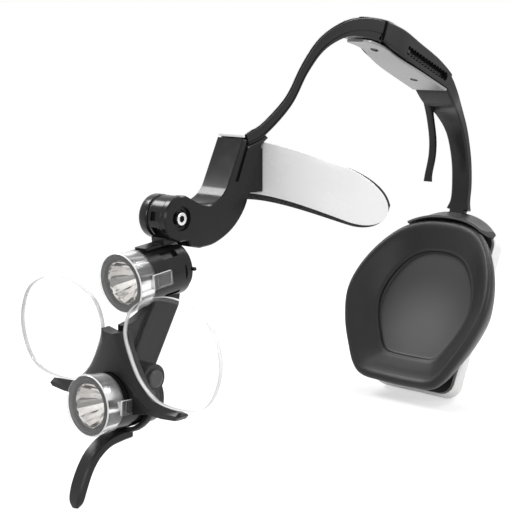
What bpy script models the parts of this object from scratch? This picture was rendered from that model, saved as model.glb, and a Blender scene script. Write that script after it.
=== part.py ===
"""Dental loupes on a headband, with two lamps.

The wearer faces -Y, +Z is up and +X is the wearer's left. The origin is the middle
of the forehead pad, where it rests on the brow. Sizes below are in millimetres and
are measured from the bridge, the point midway between the two lenses; put() moves
them to the origin and turns them into metres.
"""
import math

import bmesh
import bpy
import numpy as np
from mathutils import Matrix, Vector

for old in list(bpy.data.objects):
    bpy.data.objects.remove(old, do_unlink=True)

MM = 0.001
SEAT = Vector((0.0, 86.0, 60.0))       # the forehead seat, from the bridge
GAP = 0.3                              # between pieces that touch
RUN = 0.3                              # between pieces that turn or slide

# hinge under the brow: disc, barrel, washer and knob on one axis along X
HUB = Vector((0.0, 29.3, 44.2))
DISC_R = 9.2
DISC_X = (4.8, 7.5)
BARREL_R = 8.8
BARREL_X = (-2.3, DISC_X[0] - RUN)
WASHER_R = 8.3
WASHER_T = 0.6
KNOB_R = 8.9
KNOB_T = 4.9
KNOB_ROUND = 1.2
AXLE_R = 1.6
AXLE_HEAD_R = 3.4
AXLE_RECESS_R = 5.4
AXLE_RECESS = 1.3

# bracket and band
BRACKET_W = 15.0
BAND_W = 15.0
TRIM_W = 14.2
TRIM_T = 1.0

# crown box, a straight channel that falls to the rear
CROWN_FALL = math.radians(22.0)
BOX_W = 21.5
BOX_FRONT = 105.5
BOX_REAR = 161.5
BOX_FLOOR = 161.9
CHANNEL_W = 17.6
CHANNEL_LOW = 163.4
CHANNEL_H = 5.2
SLOT_START = 121.6
SLOT_LENGTH = 38.0
SLOT_H = 2.4
TOOTH_PITCH = 2.6
TOOTH_H = 0.95
PLATE_T = 1.3
PLATE_W = 20.0
PLATE_NOSE = 6.6
CROWN_SCREW_R = 1.7
CROWN_SCREW_AT = (110.8, 146.4)
TONGUE_FRONT = 119.5

# forehead plate and pad
BROW_R = 58.0
BROW_FRONT = 78.7
WING_SWEEP = 59.8
WING_H = 22.2
BROW_STEPS = 24
WING_T = 1.5
BROW_PAD_T = 5.5
BROW_SCREWS = (55.0, 64.5)

# lamps, one above and one below the bridge
LAMP_R = 11.2
LAMP_LENGTH = 31.0
RING_LENGTH = 9.2
RING_R = LAMP_R + 0.3
RING_BORE = RING_R - 1.8
WINDOW_T = 1.2
LAMP_BORE = 9.6
LAMP_BORE_DEPTH = 17.4
LAMP_CAP = 1.7
TAB_W = 5.8
TAB_T = 1.2
TAB_REACH = 8.2                        # how far each tab goes past the cover
TAB_WINDOW = 4.2
REFLECTOR_R = 9.0
REFLECTOR_DEPTH = 12.6
UPPER_LAMP = (Vector((0.0, 2.5, 32.4 - LAMP_R)), math.radians(5.9))
LOWER_LAMP = (Vector((0.0, -15.3, -12.2 - LAMP_R)), math.radians(-3.0))
SADDLE_LOW = LAMP_R - 1.1              # the saddle's underside, above the lamp's axis
SADDLE_TOP = SADDLE_LOW + 1.2
SADDLE_W = 6.4
ARM_FOOT = LAMP_R - 1.6                # the arm's top face, below the lamp's axis

# arm and lower pivot
PIVOT = Vector((0.0, 10.0, -15.8))
ARM_W = 8.0
WEB_W = 4.4
EYE_R = 5.5
PIN_R = 1.6
PIVOT_FACE = 8.3
EAR_R = 5.7
EAR_T = 2.2
YOKE_W = 3.4

# lenses and their holder
LENS_T = 2.2
LENS_CROWN = 1.4
LENS_FRONT = -1.6
HOLDER_FRONT = -3.0
HOLDER_MID = -1.3
HOLDER_BACK = 2.8
LEVER_W = 6.6

# rear unit, leaning forward at its foot
REAR = Vector((0.0, 203.0, -16.0))
FOOT_END = (33.6, 34.6)                # the rear band's foot, from the cup
FOOT_W = 4.6
FOOT_T = 4.2
REAR_LEAN = math.atan(0.5)
CUP_DEPTH = 15.0
CUP_FLOOR = 8.6
CUP_CURL = 6.0                         # how far the rim's sides stand forward of its middle
CUP_TIP = 5.5                          # how far its top stands back of its foot
SHELL_T = 2.1
CASE_FRONT = CUP_DEPTH + GAP + SHELL_T + GAP
CASE_BACK = 33.0
CASE_WALL = 1.8
CASE_TOP = 43.5
CASE_FOOT = -43.5
CASE_W = (50.0, 49.0)
CELL_R = 5.2
CELL_LENGTH = 44.0
DOOR_W = 32.0
DOOR_T = 1.6
DOOR_TOP = 14.0
DOOR_FOOT = -37.0
SWITCH_TRAVEL = 4.0

PALETTE = {
    "gloss_black": ((0.012, 0.012, 0.013), 0.22, 0.0),
    "satin_black": ((0.018, 0.018, 0.019), 0.45, 0.0),
    "soft_black": ((0.02, 0.02, 0.021), 0.8, 0.0),
    "shell_grey": ((0.09, 0.09, 0.095), 0.5, 0.0),
    "case_white": ((0.8, 0.8, 0.79), 0.4, 0.0),
    "satin_steel": ((0.62, 0.62, 0.63), 0.3, 1.0),
    "bright_steel": ((0.8, 0.8, 0.8), 0.15, 1.0),
    "clear": ((0.95, 0.96, 0.96), 0.05, 0.0),
    "emitter": ((0.95, 0.9, 0.6), 0.3, 0.0),
    "board_green": ((0.02, 0.16, 0.06), 0.5, 0.0),
    "cell_wrap": ((0.1, 0.12, 0.2), 0.4, 0.0),
}


# ---------------------------------------------------------------- helpers

def make_materials():
    made = {}
    for name, (colour, roughness, metallic) in PALETTE.items():
        mat = bpy.data.materials.new(name)
        mat.use_nodes = True
        shader = mat.node_tree.nodes["Principled BSDF"]
        shader.inputs["Base Color"].default_value = (*colour, 1.0)
        shader.inputs["Roughness"].default_value = roughness
        shader.inputs["Metallic"].default_value = metallic
        made[name] = mat
    return made


MATERIALS = make_materials()
FRAMES = {}


def put(point):
    """Turn a point in millimetres from the bridge into metres from the origin."""
    return (Vector(point) - SEAT) * MM


def frame(name, point):
    """Add an empty at a joint's axis; the pieces of that body hang on it."""
    empty = bpy.data.objects.new(name + "_frame", None)
    empty.location = put(point)
    bpy.context.scene.collection.objects.link(empty)
    FRAMES[name] = empty


def to_mesh(name, bm, origin):
    bmesh.ops.recalc_face_normals(bm, faces=bm.faces)
    if bm.calc_volume(signed=True) < 0.0:
        bmesh.ops.reverse_faces(bm, faces=bm.faces)
    for vert in bm.verts:
        vert.co = put(vert.co) - origin
    mesh = bpy.data.meshes.new(name)
    bm.to_mesh(mesh)
    bm.free()
    return mesh


def add(name, bm, material, body="headband", smooth=35.0):
    """Make the named piece from a bmesh in millimetres, hung on its body's frame."""
    empty = FRAMES[body]
    mesh = to_mesh(name, bm, empty.location)
    mesh.shade_smooth()
    mesh.set_sharp_from_angle(angle=math.radians(smooth))
    mesh.materials.append(MATERIALS[material])
    obj = bpy.data.objects.new(name, mesh)
    obj.parent = empty
    bpy.context.scene.collection.objects.link(obj)
    return obj


def tool(obj, bm, operation="DIFFERENCE"):
    """Cut a shape out of a piece, or join a shape to it."""
    name = obj.name + "_tool"
    cutter = bpy.data.objects.new(name, to_mesh(name, bm, Vector()))
    cutter.hide_render = True
    cutter.display_type = "WIRE"
    bpy.context.scene.collection.objects.link(cutter)
    modifier = obj.modifiers.new(operation.title(), "BOOLEAN")
    modifier.operation = operation
    modifier.object = cutter


def soften(obj, width, segments=1, angle=40.0):
    modifier = obj.modifiers.new("Bevel", "BEVEL")
    modifier.width = width * MM
    modifier.segments = segments
    modifier.limit_method = "ANGLE"
    modifier.angle_limit = math.radians(angle)


def spline(knots, per, closed=False):
    """Smooth rows of numbers that pass through every knot (Catmull-Rom)."""
    knots = np.asarray(knots, float)
    if closed:
        padded = np.vstack([knots[-1:], knots, knots[:2]])
    else:
        padded = np.vstack([2 * knots[0] - knots[1], knots, 2 * knots[-1] - knots[-2]])
    step = np.linspace(0.0, 1.0, per, endpoint=False)[:, None]
    rows = []
    for a, b, c, d in zip(padded, padded[1:], padded[2:], padded[3:]):
        rows.append(0.5 * (2 * b + (c - a) * step + (2 * a - 5 * b + 4 * c - d) * step ** 2
                           + (3 * b - a - 3 * c + d) * step ** 3))
    if not closed:
        rows.append(knots[-1:])
    return np.vstack(rows)


def arc(centre, radius, start, end, steps):
    """Points on a circle, angles in degrees from the first axis."""
    angles = np.radians(np.linspace(start, end, steps))
    return [(centre[0] + radius * math.cos(t), centre[1] + radius * math.sin(t)) for t in angles]


def skin(rings, closed=False):
    """Join rings of equal count into one closed body."""
    bm = bmesh.new()
    loops = [[bm.verts.new(Vector(p)) for p in ring] for ring in rings]
    pairs = list(zip(loops, loops[1:]))
    if closed:
        pairs.append((loops[-1], loops[0]))
    for low, high in pairs:
        for i in range(len(low)):
            j = (i + 1) % len(low)
            bm.faces.new((low[i], low[j], high[j], high[i]))
    if not closed:
        bm.faces.new(loops[0][::-1])
        bm.faces.new(loops[-1])
    return bm


def prism(outline, low, high, at=lambda a, b, t: (t, a, b)):
    """Extrude a flat outline from low to high; the default outline is (y, z) along X."""
    bm = bmesh.new()
    face = bm.faces.new([bm.verts.new(Vector(at(a, b, low))) for a, b in outline])
    grown = bmesh.ops.extrude_face_region(bm, geom=[face])["geom"]
    shift = Vector(at(0.0, 0.0, high)) - Vector(at(0.0, 0.0, low))
    bmesh.ops.translate(bm, vec=shift, verts=[v for v in grown if isinstance(v, bmesh.types.BMVert)])
    return bm


def inset(outline, distance):
    """Move a flat outline's points inwards along their corner bisectors."""
    points = np.asarray(outline, float)
    before, after = np.roll(points, 1, axis=0), np.roll(points, -1, axis=0)
    turn = 1.0 if np.sum(before[:, 0] * points[:, 1] - points[:, 0] * before[:, 1]) > 0 else -1.0
    a = points - before
    b = after - points
    a /= np.linalg.norm(a, axis=1)[:, None]
    b /= np.linalg.norm(b, axis=1)[:, None]
    normal = turn * (np.stack([-a[:, 1], a[:, 0]], axis=1) + np.stack([-b[:, 1], b[:, 0]], axis=1))
    share = np.maximum(0.5 * np.sum(normal ** 2, axis=1), 0.4)
    return points + distance * normal / share[:, None]


def plank(outline, low, high, edge, steps=2, at=lambda a, b, t: (t, a, b)):
    """Extrude a flat outline from low to high with rounded rims."""
    rings = []
    for i in range(steps + 1):
        t = math.pi / 2 * i / steps
        ring = inset(outline, edge * (1 - math.sin(t)))
        rings.append([at(a, b, low + edge * (1 - math.cos(t))) for a, b in ring])
    for i in range(steps, -1, -1):
        t = math.pi / 2 * i / steps
        ring = inset(outline, edge * (1 - math.sin(t)))
        rings.append([at(a, b, high - edge * (1 - math.cos(t))) for a, b in ring])
    return skin(rings)


def turned(profile, place, steps=40):
    """Turn a profile of (radius, along) about the axis that place puts it on.

    A profile that starts and ends at radius 0 is capped there; any other is a loop.
    """
    solid = profile[0][0] == 0.0 and profile[-1][0] == 0.0
    rings = []
    for r, along in profile[1:-1] if solid else profile:
        rings.append([place @ Vector((r * math.cos(t), r * math.sin(t), along)) for t in circle(steps)])
    return skin(rings, closed=not solid)


def drill(radius, low, high, place, steps=24):
    """A plain round rod, mostly used to cut a hole."""
    return turned([(0.0, low), (radius, low), (radius, high), (0.0, high)], place, steps)


def along_x(point):
    """A frame whose axis is +X through a point."""
    return Matrix.Translation(Vector((0.0, point[1], point[2]))) @ Matrix.Rotation(math.pi / 2, 4, "Y")


def box(low, high, place=Matrix.Identity(4)):
    bm = bmesh.new()
    bmesh.ops.create_cube(bm, size=1.0)
    low, high = Vector(low), Vector(high)
    size = Matrix.Diagonal((*(high - low), 1.0))
    bmesh.ops.transform(bm, matrix=place @ Matrix.Translation((low + high) / 2) @ size, verts=bm.verts)
    return bm


def rounded(half_w, low, high, radius, steps=5):
    """Outline of a rectangle with round corners, -half_w..half_w by low..high."""
    points = []
    for sx, sy, start in ((1, 1, 0), (-1, 1, 90), (-1, -1, 180), (1, -1, 270)):
        centre = (sx * (half_w - radius), (high if sy > 0 else low) - sy * radius)
        points += arc(centre, radius, start, start + 90, steps)
    return points


def strap(stations, per, chamfer, x_mid=0.0, ends=(), first=None, last=None):
    """Carry a chamfered rectangle along a path in the YZ plane.

    Each station is (y, z, half width, thickness). Extra rows in ends follow the path's
    last direction and are not smoothed, such as a tenon. first and last set the
    direction at either end.
    """
    rows = spline(stations, per)
    slope = np.gradient(rows[:, :2], axis=0)
    if first is not None:
        slope[0] = first.yz
    if last is not None:
        slope[-1] = last.yz
    if len(ends):
        rows = np.vstack([rows, ends])
        slope = np.vstack([slope, np.repeat(slope[-1:], len(ends), axis=0)])
    rings = []
    for (y, z, half, thick), (dy, dz) in zip(rows, slope):
        length = math.hypot(dy, dz)
        ny, nz = -dz / length, dy / length
        c = min(chamfer, 0.45 * thick)
        t = thick / 2
        section = [(half - c, t), (half, t - c), (half, c - t), (half - c, -t),
                   (c - half, -t), (-half, c - t), (-half, t - c), (c - half, t)]
        rings.append([(x_mid + x, y + n * ny, z + n * nz) for x, n in section])
    return skin(rings)


# ---------------------------------------------------------------- crown frame

ALONG = Vector((0.0, math.cos(CROWN_FALL), -math.sin(CROWN_FALL)))
ACROSS = Vector((0.0, math.sin(CROWN_FALL), math.cos(CROWN_FALL)))


def crown(x, s, n):
    """A point of the crown box: across, along the fall, and out from the head."""
    return Vector((x, 0.0, 0.0)) + ALONG * s + ACROSS * n


def crown_block(half, s, n):
    """A block in the crown box's own frame, between pairs of s and n."""
    return skin([[crown(x, at, h) for x, h in ((half, n[1]), (half, n[0]), (-half, n[0]), (-half, n[1]))]
                 for at in s])


# ---------------------------------------------------------------- front of the headband

BAND_KNOTS = [
    (67.8, 72.9, 7.5, 4.9),
    (78.1, 76.4, 7.5, 5.0),
    (93.9, 87.4, 7.5, 5.0),
    (104.7, 100.9, 7.5, 5.2),
    (116.4, 111.2, 7.5, 5.9),
    (132.0, 117.4, 7.5, 6.8),
    (146.0, 118.5, 7.5, 8.8),
    (158.0, 117.1, 7.5, 9.8),
]
BAND_STEPS = 4
BOX_KNOTS = [
    (BOX_FRONT, 8.4, 173.6),
    (116.5, BOX_W / 2, 173.9),
    (130.0, BOX_W / 2, 173.2),
    (146.0, BOX_W / 2, 172.4),
    (156.0, BOX_W / 2, 170.9),
    (BOX_REAR, BOX_W / 2, 169.6),
]
TENON = (BOX_FRONT - GAP + 0.02, BOX_FRONT + 8.0)
TENON_MID = 167.7
TENON_H = 6.4


def box_low(s):
    """Underside of the crown box: level, then rising to meet the band in front."""
    rise_from = 126.0
    return BOX_FLOOR + 2.2 * (max(0.0, rise_from - s) / (rise_from - BOX_FRONT)) ** 1.5


def band_face(side, lift):
    """Rows (y, z) that run along the band's outer (+1) or inner (-1) face, lifted off it."""
    rows = spline(BAND_KNOTS, BAND_STEPS)
    slope = np.gradient(rows[:, :2], axis=0)
    normal = np.stack([-slope[:, 1], slope[:, 0]], axis=1)
    normal /= np.linalg.norm(normal, axis=1)[:, None]
    return rows[:, :2] + side * normal * (rows[:, 3:4] / 2 + lift)


def front_bracket():
    """S-shaped moulding: upright block behind the brow face, forward arm, hinge disc."""
    saddle = band_face(-1, GAP)
    saddle = saddle[saddle[:, 0] < 82.0]
    wall = BAND_KNOTS[0][0] - GAP
    disc = arc(HUB.yz, DISC_R, 72, 282, 26)
    outline = [(65.0, 73.4)]
    outline += [tuple(p) for p in spline([(55.4, 54.0), (51.6, 50.4), (45.8, 48.3), (39.6, 49.2)], 4)]
    outline += disc
    outline += [(33.6, 34.6), (34.0, 32.5)]
    outline += [tuple(p) for p in spline([(39.5, 31.3), (48.5, 32.2), (58.6, 36.8), (66.2, 44.6),
                                          (70.2, 54.6), (76.8, 70.3)], 4)]
    outline += [(81.0, 72.8)]
    outline += [tuple(p) for p in saddle[::-1]]
    outline += [(wall, saddle[0][1] - 0.1), (wall, 73.2)]
    obj = add("front_bracket", plank(outline, -BRACKET_W / 2, BRACKET_W / 2, 0.6, 1), "gloss_black")
    # the mounting boss behind, for the forehead plate
    tool(obj, box((-6.0, 66.0, 50.5), (6.0, BROW_FRONT - GAP, 68.5)), "UNION")
    # room for the barrel, washer and knob beside the disc
    room_r, room_x = DISC_R + 1.6, BARREL_X[1] + RUN
    room = [(0.0, -20.0), (room_r, -20.0), (room_r, room_x), (0.0, room_x)]
    tool(obj, turned(room, along_x(HUB)))
    sunk = DISC_X[1] - AXLE_RECESS
    step = DISC_X[0] + 0.6
    bore = [(0.0, -1.0), (AXLE_R + GAP, -1.0), (AXLE_R + GAP, step), (AXLE_HEAD_R + GAP, step),
            (AXLE_HEAD_R + GAP, sunk), (AXLE_RECESS_R - 0.9, sunk), (AXLE_RECESS_R, 9.0), (0.0, 9.0)]
    tool(obj, turned(bore, along_x(HUB)))
    for x in (-BRACKET_W / 2, BRACKET_W / 2):
        groove = prism([(66.8, 71.6), (68.9, 71.9), (61.9, 56.0), (60.0, 56.4)], x - 0.9, x + 0.9)
        tool(obj, groove)
    for z in BROW_SCREWS:
        tool(obj, box((-1.5, 68.0, z - 1.5), (1.5, 90.0, z + 1.5)))


def front_band():
    """Arched band; its rear end steps down to a tenon in the crown box."""
    half = BAND_W / 2
    stop = (*crown(0, BOX_FRONT - GAP, TENON_MID + 0.4).yz, half, 9.8)
    tenon = [(*crown(0, s, TENON_MID).yz, half - 1.2, TENON_H) for s in TENON]
    add("front_band", strap(BAND_KNOTS + [stop], BAND_STEPS, 0.6, ends=tenon, last=ALONG), "gloss_black")


def band_trim():
    """Thin strip on the band's outer face that runs on over the crown box."""
    over_band = band_face(1, GAP + TRIM_T / 2)
    over_band = over_band[(over_band[:, 0] > 66.0) & (over_band[:, 0] < 152.0)]
    over_box = [crown(0, s, top + GAP + 0.1 + TRIM_T / 2).yz for s, _, top in spline(BOX_KNOTS, 3)[:-2]]
    path = [(y, z, TRIM_W / 2, TRIM_T) for y, z in list(over_band[::2]) + over_box]
    add("band_trim", strap(path, 1, 0.3), "case_white")


def crown_box():
    """Channel with a tapered collar in front and a toothed slot through each side wall."""
    rings = []
    for s, half, top in spline(BOX_KNOTS, 3):
        low = box_low(s)
        c = 0.7
        section = [(half - c, top), (half, top - c), (half, low + c), (half - c, low),
                   (c - half, low), (-half, low + c), (-half, top - c), (c - half, top)]
        rings.append([crown(x, s, n) for x, n in section])
    obj = add("crown_box", skin(rings), "gloss_black")
    high = CHANNEL_LOW + CHANNEL_H
    tool(obj, crown_block(CHANNEL_W / 2, (TONGUE_FRONT - 1.0, BOX_REAR + 4), (CHANNEL_LOW, high)))
    tenon_half = BAND_W / 2 - 1.2 + GAP
    tool(obj, crown_block(tenon_half, (BOX_FRONT - 4, TENON[1] + GAP),
                          (TENON_MID - TENON_H / 2 - GAP, TENON_MID + TENON_H / 2 + GAP)))
    tool(obj, toothed_slot(BOX_W / 2 + 2))
    for s in CROWN_SCREW_AT:
        hole = skin([[crown(1.3 * math.cos(t), s + 1.3 * math.sin(t), n) for t in circle(16)]
                     for n in (BOX_FLOOR - 1.0, CHANNEL_LOW + 0.2)])
        tool(obj, hole)


def circle(count):
    return [2 * math.pi * i / count for i in range(count)]


def toothed_slot(reach):
    """Long slot across the box, with a rack of teeth on its upper and lower edges."""
    mid = CHANNEL_LOW + CHANNEL_H / 2
    teeth = int(SLOT_LENGTH / TOOTH_PITCH)
    upper = []
    for i in range(teeth):
        s = SLOT_START + i * TOOTH_PITCH
        upper += [(s, SLOT_H / 2 + TOOTH_H), (s + 0.7 * TOOTH_PITCH, SLOT_H / 2 + TOOTH_H),
                  (s + 0.72 * TOOTH_PITCH, SLOT_H / 2)]
    upper.append((SLOT_START + teeth * TOOTH_PITCH, SLOT_H / 2))
    outline = upper + [(s, -n) for s, n in upper[::-1]]
    return prism([(s, mid + n) for s, n in outline], -reach, reach, at=lambda s, n, x: crown(x, s, n))


def crown_plate():
    """Satin strip under the band's rear end and the box, round at its front."""
    under = band_face(-1, GAP + PLATE_T / 2)
    under = under[(under[:, 0] > 147.0) & (under[:, 0] < 155.0)]
    below = GAP + PLATE_T / 2
    n = BOX_FLOOR - below
    front = [(y, z, PLATE_NOSE, PLATE_T) for y, z in under]
    front[0] = (*front[0][:2], 0.7 * PLATE_NOSE, PLATE_T)
    widths = ((110.0, 0.67), (117.0, 0.76), (125.0, 0.86), (137.0, 0.96), (BOX_REAR - 0.5, 1.0))
    path = front + [(*crown(0, s, box_low(s) - below).yz, share * PLATE_W / 2, PLATE_T) for s, share in widths]
    obj = add("crown_plate", strap(path, 2, 0.3), "satin_steel")
    for s in CROWN_SCREW_AT:
        tool(obj, skin([[crown(2.0 * math.cos(t), s + 2.0 * math.sin(t), h) for t in circle(20)]
                        for h in (n - 2, n + 4)]))
    names = ("crown_screw_front", "crown_screw_rear")
    for name, s in zip(names, CROWN_SCREW_AT):
        low = box_low(s) - below - PLATE_T / 2 + 0.3
        steps = [(CROWN_SCREW_R, low), (CROWN_SCREW_R, low + 0.9), (1.0, low + 0.9),
                 (1.0, CHANNEL_LOW - 0.2)]
        add(name, skin([[crown(r * math.cos(t), s + r * math.sin(t), h) for t in circle(20)]
                        for r, h in steps]), "satin_black")


# ---------------------------------------------------------------- hinge

def hinge_pieces():
    knob_in = BARREL_X[0] - RUN - WASHER_T - GAP
    knob_out = knob_in - KNOB_T
    head = DISC_X[1] + 0.4
    axle = [(0.0, head - 1.4), (1.2, head - 1.4), (1.2, head), (AXLE_HEAD_R - 0.4, head),
            (AXLE_HEAD_R, head - 0.4), (AXLE_HEAD_R, DISC_X[0] + 0.9), (AXLE_R, DISC_X[0] + 0.9),
            (AXLE_R, knob_out + 1.0), (0.0, knob_out + 1.0)]
    add("hinge_screw", turned(axle, along_x(HUB), 32), "bright_steel")
    washer = [(AXLE_R + 0.2, BARREL_X[0] - RUN), (WASHER_R, BARREL_X[0] - RUN),
              (WASHER_R, BARREL_X[0] - RUN - WASHER_T), (AXLE_R + 0.2, BARREL_X[0] - RUN - WASHER_T)]
    add("hinge_washer", turned(washer, along_x(HUB), 32), "satin_steel")
    rim = [(knob_in, KNOB_R - 0.5), (knob_in - 0.5, KNOB_R)]
    rim += arc((knob_out + KNOB_ROUND, KNOB_R - KNOB_ROUND), KNOB_ROUND, 90, 180, 4)
    profile = [(0.0, knob_in)] + [(r, x) for x, r in rim] + [(0.0, knob_out)]
    knob = add("thumb_wheel", turned(profile, along_x(HUB), 40), "gloss_black", "thumb_wheel")
    tool(knob, drill(AXLE_R + RUN, knob_out + 0.7, knob_in + 1.0, along_x(HUB)))


# ---------------------------------------------------------------- forehead plate and pad

def wing_mid(x):
    """Height of the wings' middle line: they droop towards their tips."""
    return 60.1 - x * x / 155.0


def brow_sheet(radius, thick, height, sweep, drop):
    """Sheet bent round the brow: its front face has the given radius, sweep is in degrees.

    The drop lowers its middle only; the tips stay level with the wings'.
    """
    back = BROW_FRONT + BROW_R
    c = 0.3
    rings = []
    for share in np.linspace(-1.0, 1.0, BROW_STEPS):
        turn = math.radians(sweep) * math.sin(0.5 * math.pi * 0.985 * share)
        past = max(0.0, (abs(turn) / math.radians(sweep) - 0.7) / 0.3)
        half = height / 2 * math.sqrt(1.0 - past * past)
        mid = wing_mid(radius * math.sin(turn)) - drop * (1.0 - 1.4 * share * share)
        section = [(0, half - c), (0, 0), (0, c - half), (c, -half), (thick - c, -half), (thick, c - half),
                   (thick, 0), (thick, half - c), (thick - c, half), (c, half)]
        rings.append([((radius - d) * math.sin(turn), back - (radius - d) * math.cos(turn), mid + h)
                      for d, h in section])
    return skin(rings)


def forehead():
    plate = add("forehead_plate", brow_sheet(BROW_R, WING_T, WING_H, WING_SWEEP, 0.0), "satin_steel")
    pad_r = BROW_R - WING_T - GAP
    add("forehead_pad", brow_sheet(pad_r, BROW_PAD_T, WING_H + 0.2, WING_SWEEP + 1.0, 2.1), "soft_black")
    for name, z in zip(("forehead_screw_lower", "forehead_screw_upper"), BROW_SCREWS):
        place = Matrix.Translation((0.0, 0.0, z)) @ Matrix.Rotation(-math.pi / 2, 4, "X")
        hole = [(0.0, 60.0), (2.9, 60.0), (2.9, 90.0), (0.0, 90.0)]
        tool(plate, turned(hole, place, 24))
        head = BROW_FRONT + WING_T - 0.2
        screw = [(0.0, head - 7.0), (1.1, head - 7.0), (1.1, head - 1.2), (2.5, head - 1.2),
                 (2.5, head), (0.0, head)]
        add(name, turned(screw, place, 20), "satin_steel")


# ---------------------------------------------------------------- lamps

def lamp_frame(lamp):
    """Frame of a lamp: +Z of a turned profile runs from its front rim to its rear."""
    point, tilt = lamp
    return Matrix.Translation(point) @ Matrix.Rotation(tilt, 4, "X") @ Matrix.Rotation(-math.pi / 2, 4, "X")


def lamp_box(lamp):
    """The same frame for blocks, with +Y from front to rear and +Z up."""
    point, tilt = lamp
    return Matrix.Translation(point) @ Matrix.Rotation(tilt, 4, "X")


def lamp_cover(name, lamp, body):
    """Clear cap over the reflector with a snap tab on each side; each tab has a window."""
    lip = 0.5
    profile = [(0.0, 0.0), (RING_R - lip, 0.0), (RING_R, lip), (RING_R, RING_LENGTH),
               (RING_BORE, RING_LENGTH), (RING_BORE, WINDOW_T), (0.0, WINDOW_T)]
    obj = add(name, turned(profile, lamp_frame(lamp), 48), "clear", body)
    place = lamp_box(lamp)
    reach = RING_LENGTH + TAB_REACH
    inner = LAMP_R - 0.4
    for side in (-1, 1):
        half = TAB_W / 2
        low, high = sorted((side * inner, side * (inner + TAB_T)))
        tool(obj, box((low, 5.4, -half), (high, reach, half), place), "UNION")
        low, high = sorted((side * (RING_BORE + 0.4), side * (inner + 0.6)))
        web = box((low, 5.4, 0.4 - half), (high, RING_LENGTH - 0.6, half - 0.4), place)
        tool(obj, web, "UNION")
        low, high = sorted((side * (inner - 1), side * (inner + 3)))
        half = TAB_WINDOW / 2
        tool(obj, box((low, RING_LENGTH + 0.8, -half), (high, reach - 1.0, half), place))
    return obj


def lamp_body(name, lamp, body, rear):
    """Black housing: a bore for the reflector in front, windows and flats outside."""
    front = RING_LENGTH + GAP
    profile = [(0.0, LAMP_BORE_DEPTH), (LAMP_BORE, LAMP_BORE_DEPTH), (LAMP_BORE, front), (LAMP_R, front),
               (LAMP_R, rear - 0.8), (LAMP_R - 0.8, rear), (0.0, rear)]
    obj = add(name, turned(profile, lamp_frame(lamp), 48), "gloss_black", body)
    place = lamp_box(lamp)
    inner = LAMP_R - 0.4 - GAP
    for side in (-1, 1):
        low, high = sorted((side * inner, side * (inner + 4)))
        half = TAB_W / 2 + GAP
        tool(obj, box((low, front - 1, -half), (high, front + TAB_REACH, half), place))
        for turn, half, depth in ((44.0, 1.7, 1.5), (135.0, 1.0, 1.2)):
            spot = place @ Matrix.Rotation(side * math.radians(turn), 4, "Y")
            tool(obj, box((-half, 16.0, LAMP_R - depth), (half, 24.0, LAMP_R + 3), spot))
        oval = place @ Matrix.Translation((side * LAMP_R, 25.6, 0.0)) @ Matrix.Rotation(math.pi / 2, 4, "Y")
        rings = [[oval @ Vector((3.0 * math.cos(t), 0.65 * math.sin(t), h)) for t in circle(16)]
                 for h in (-0.6, 0.9)]
        tool(obj, skin(rings))
    return obj


def lamp_light(prefix, lamp, body):
    """Reflector, its board and the emitter."""
    place = lamp_frame(lamp)
    wall = 0.7
    front = WINDOW_T + GAP
    back = front + REFLECTOR_DEPTH
    hole = 2.9
    inside = [(hole + (REFLECTOR_R - wall - hole) * math.sqrt(1.0 - d), front + REFLECTOR_DEPTH * d)
              for d in (0.0, 0.3, 0.55, 0.75, 0.9, 1.0)]
    outside = [(r + wall, a) for r, a in inside[::-1]]
    add(prefix + "_reflector", turned(inside + outside, place, 32), "bright_steel", body)
    seat = back + GAP
    board = [(0.0, seat), (LAMP_BORE - GAP, seat), (LAMP_BORE - GAP, seat + 1.4), (0.0, seat + 1.4)]
    add(prefix + "_led_board", turned(board, place, 32), "satin_steel", body)
    dome = [(1.6 * math.cos(t), back - 0.9 - 1.3 * math.sin(t)) for t in np.linspace(0, math.pi / 2, 5)[:-1]]
    chip = [(0.0, back), (2.2, back), (2.2, back - 0.9)] + dome + [(0.0, back - 2.2)]
    add(prefix + "_led", turned(chip, place, 24), "emitter", body)


def upper_lamp():
    rear = LAMP_LENGTH - LAMP_CAP - GAP
    obj = lamp_body("upper_lamp_body", UPPER_LAMP, "lamp_arm", rear)
    place = lamp_box(UPPER_LAMP)
    flat = SADDLE_LOW - GAP
    tool(obj, box((-8.0, 0.0, flat), (8.0, 40.0, flat + 10), place))
    tool(obj, box((-ARM_W / 2 - 0.6, 12.4, -20.0), (ARM_W / 2 + 0.6, 40.0, -ARM_FOOT + GAP), place))
    cap = [(0.0, rear + GAP), (LAMP_R - 1.2, rear + GAP), (LAMP_R - 1.2, rear + GAP + 0.9),
           (LAMP_R - 2.2, LAMP_LENGTH), (0.0, LAMP_LENGTH)]
    lid = add("upper_lamp_cap", turned(cap, lamp_frame(UPPER_LAMP), 40), "gloss_black", "lamp_arm")
    tool(lid, box((-8.0, 0.0, flat), (8.0, 40.0, flat + 10), place))
    tool(lid, box((-8.0, 0.0, -20.0), (8.0, 40.0, -ARM_FOOT + GAP), place))
    for side in (-1, 1):
        low, high = sorted((side * (LAMP_R - 3.2), side * (LAMP_R + 0.4)))
        tool(lid, box((low, rear + GAP + 0.1, -0.6), (high, LAMP_LENGTH - 0.3, 0.6), place), "UNION")
    lamp_cover("upper_lamp_cover", UPPER_LAMP, "lamp_arm")
    lamp_light("upper", UPPER_LAMP, "lamp_arm")


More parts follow.
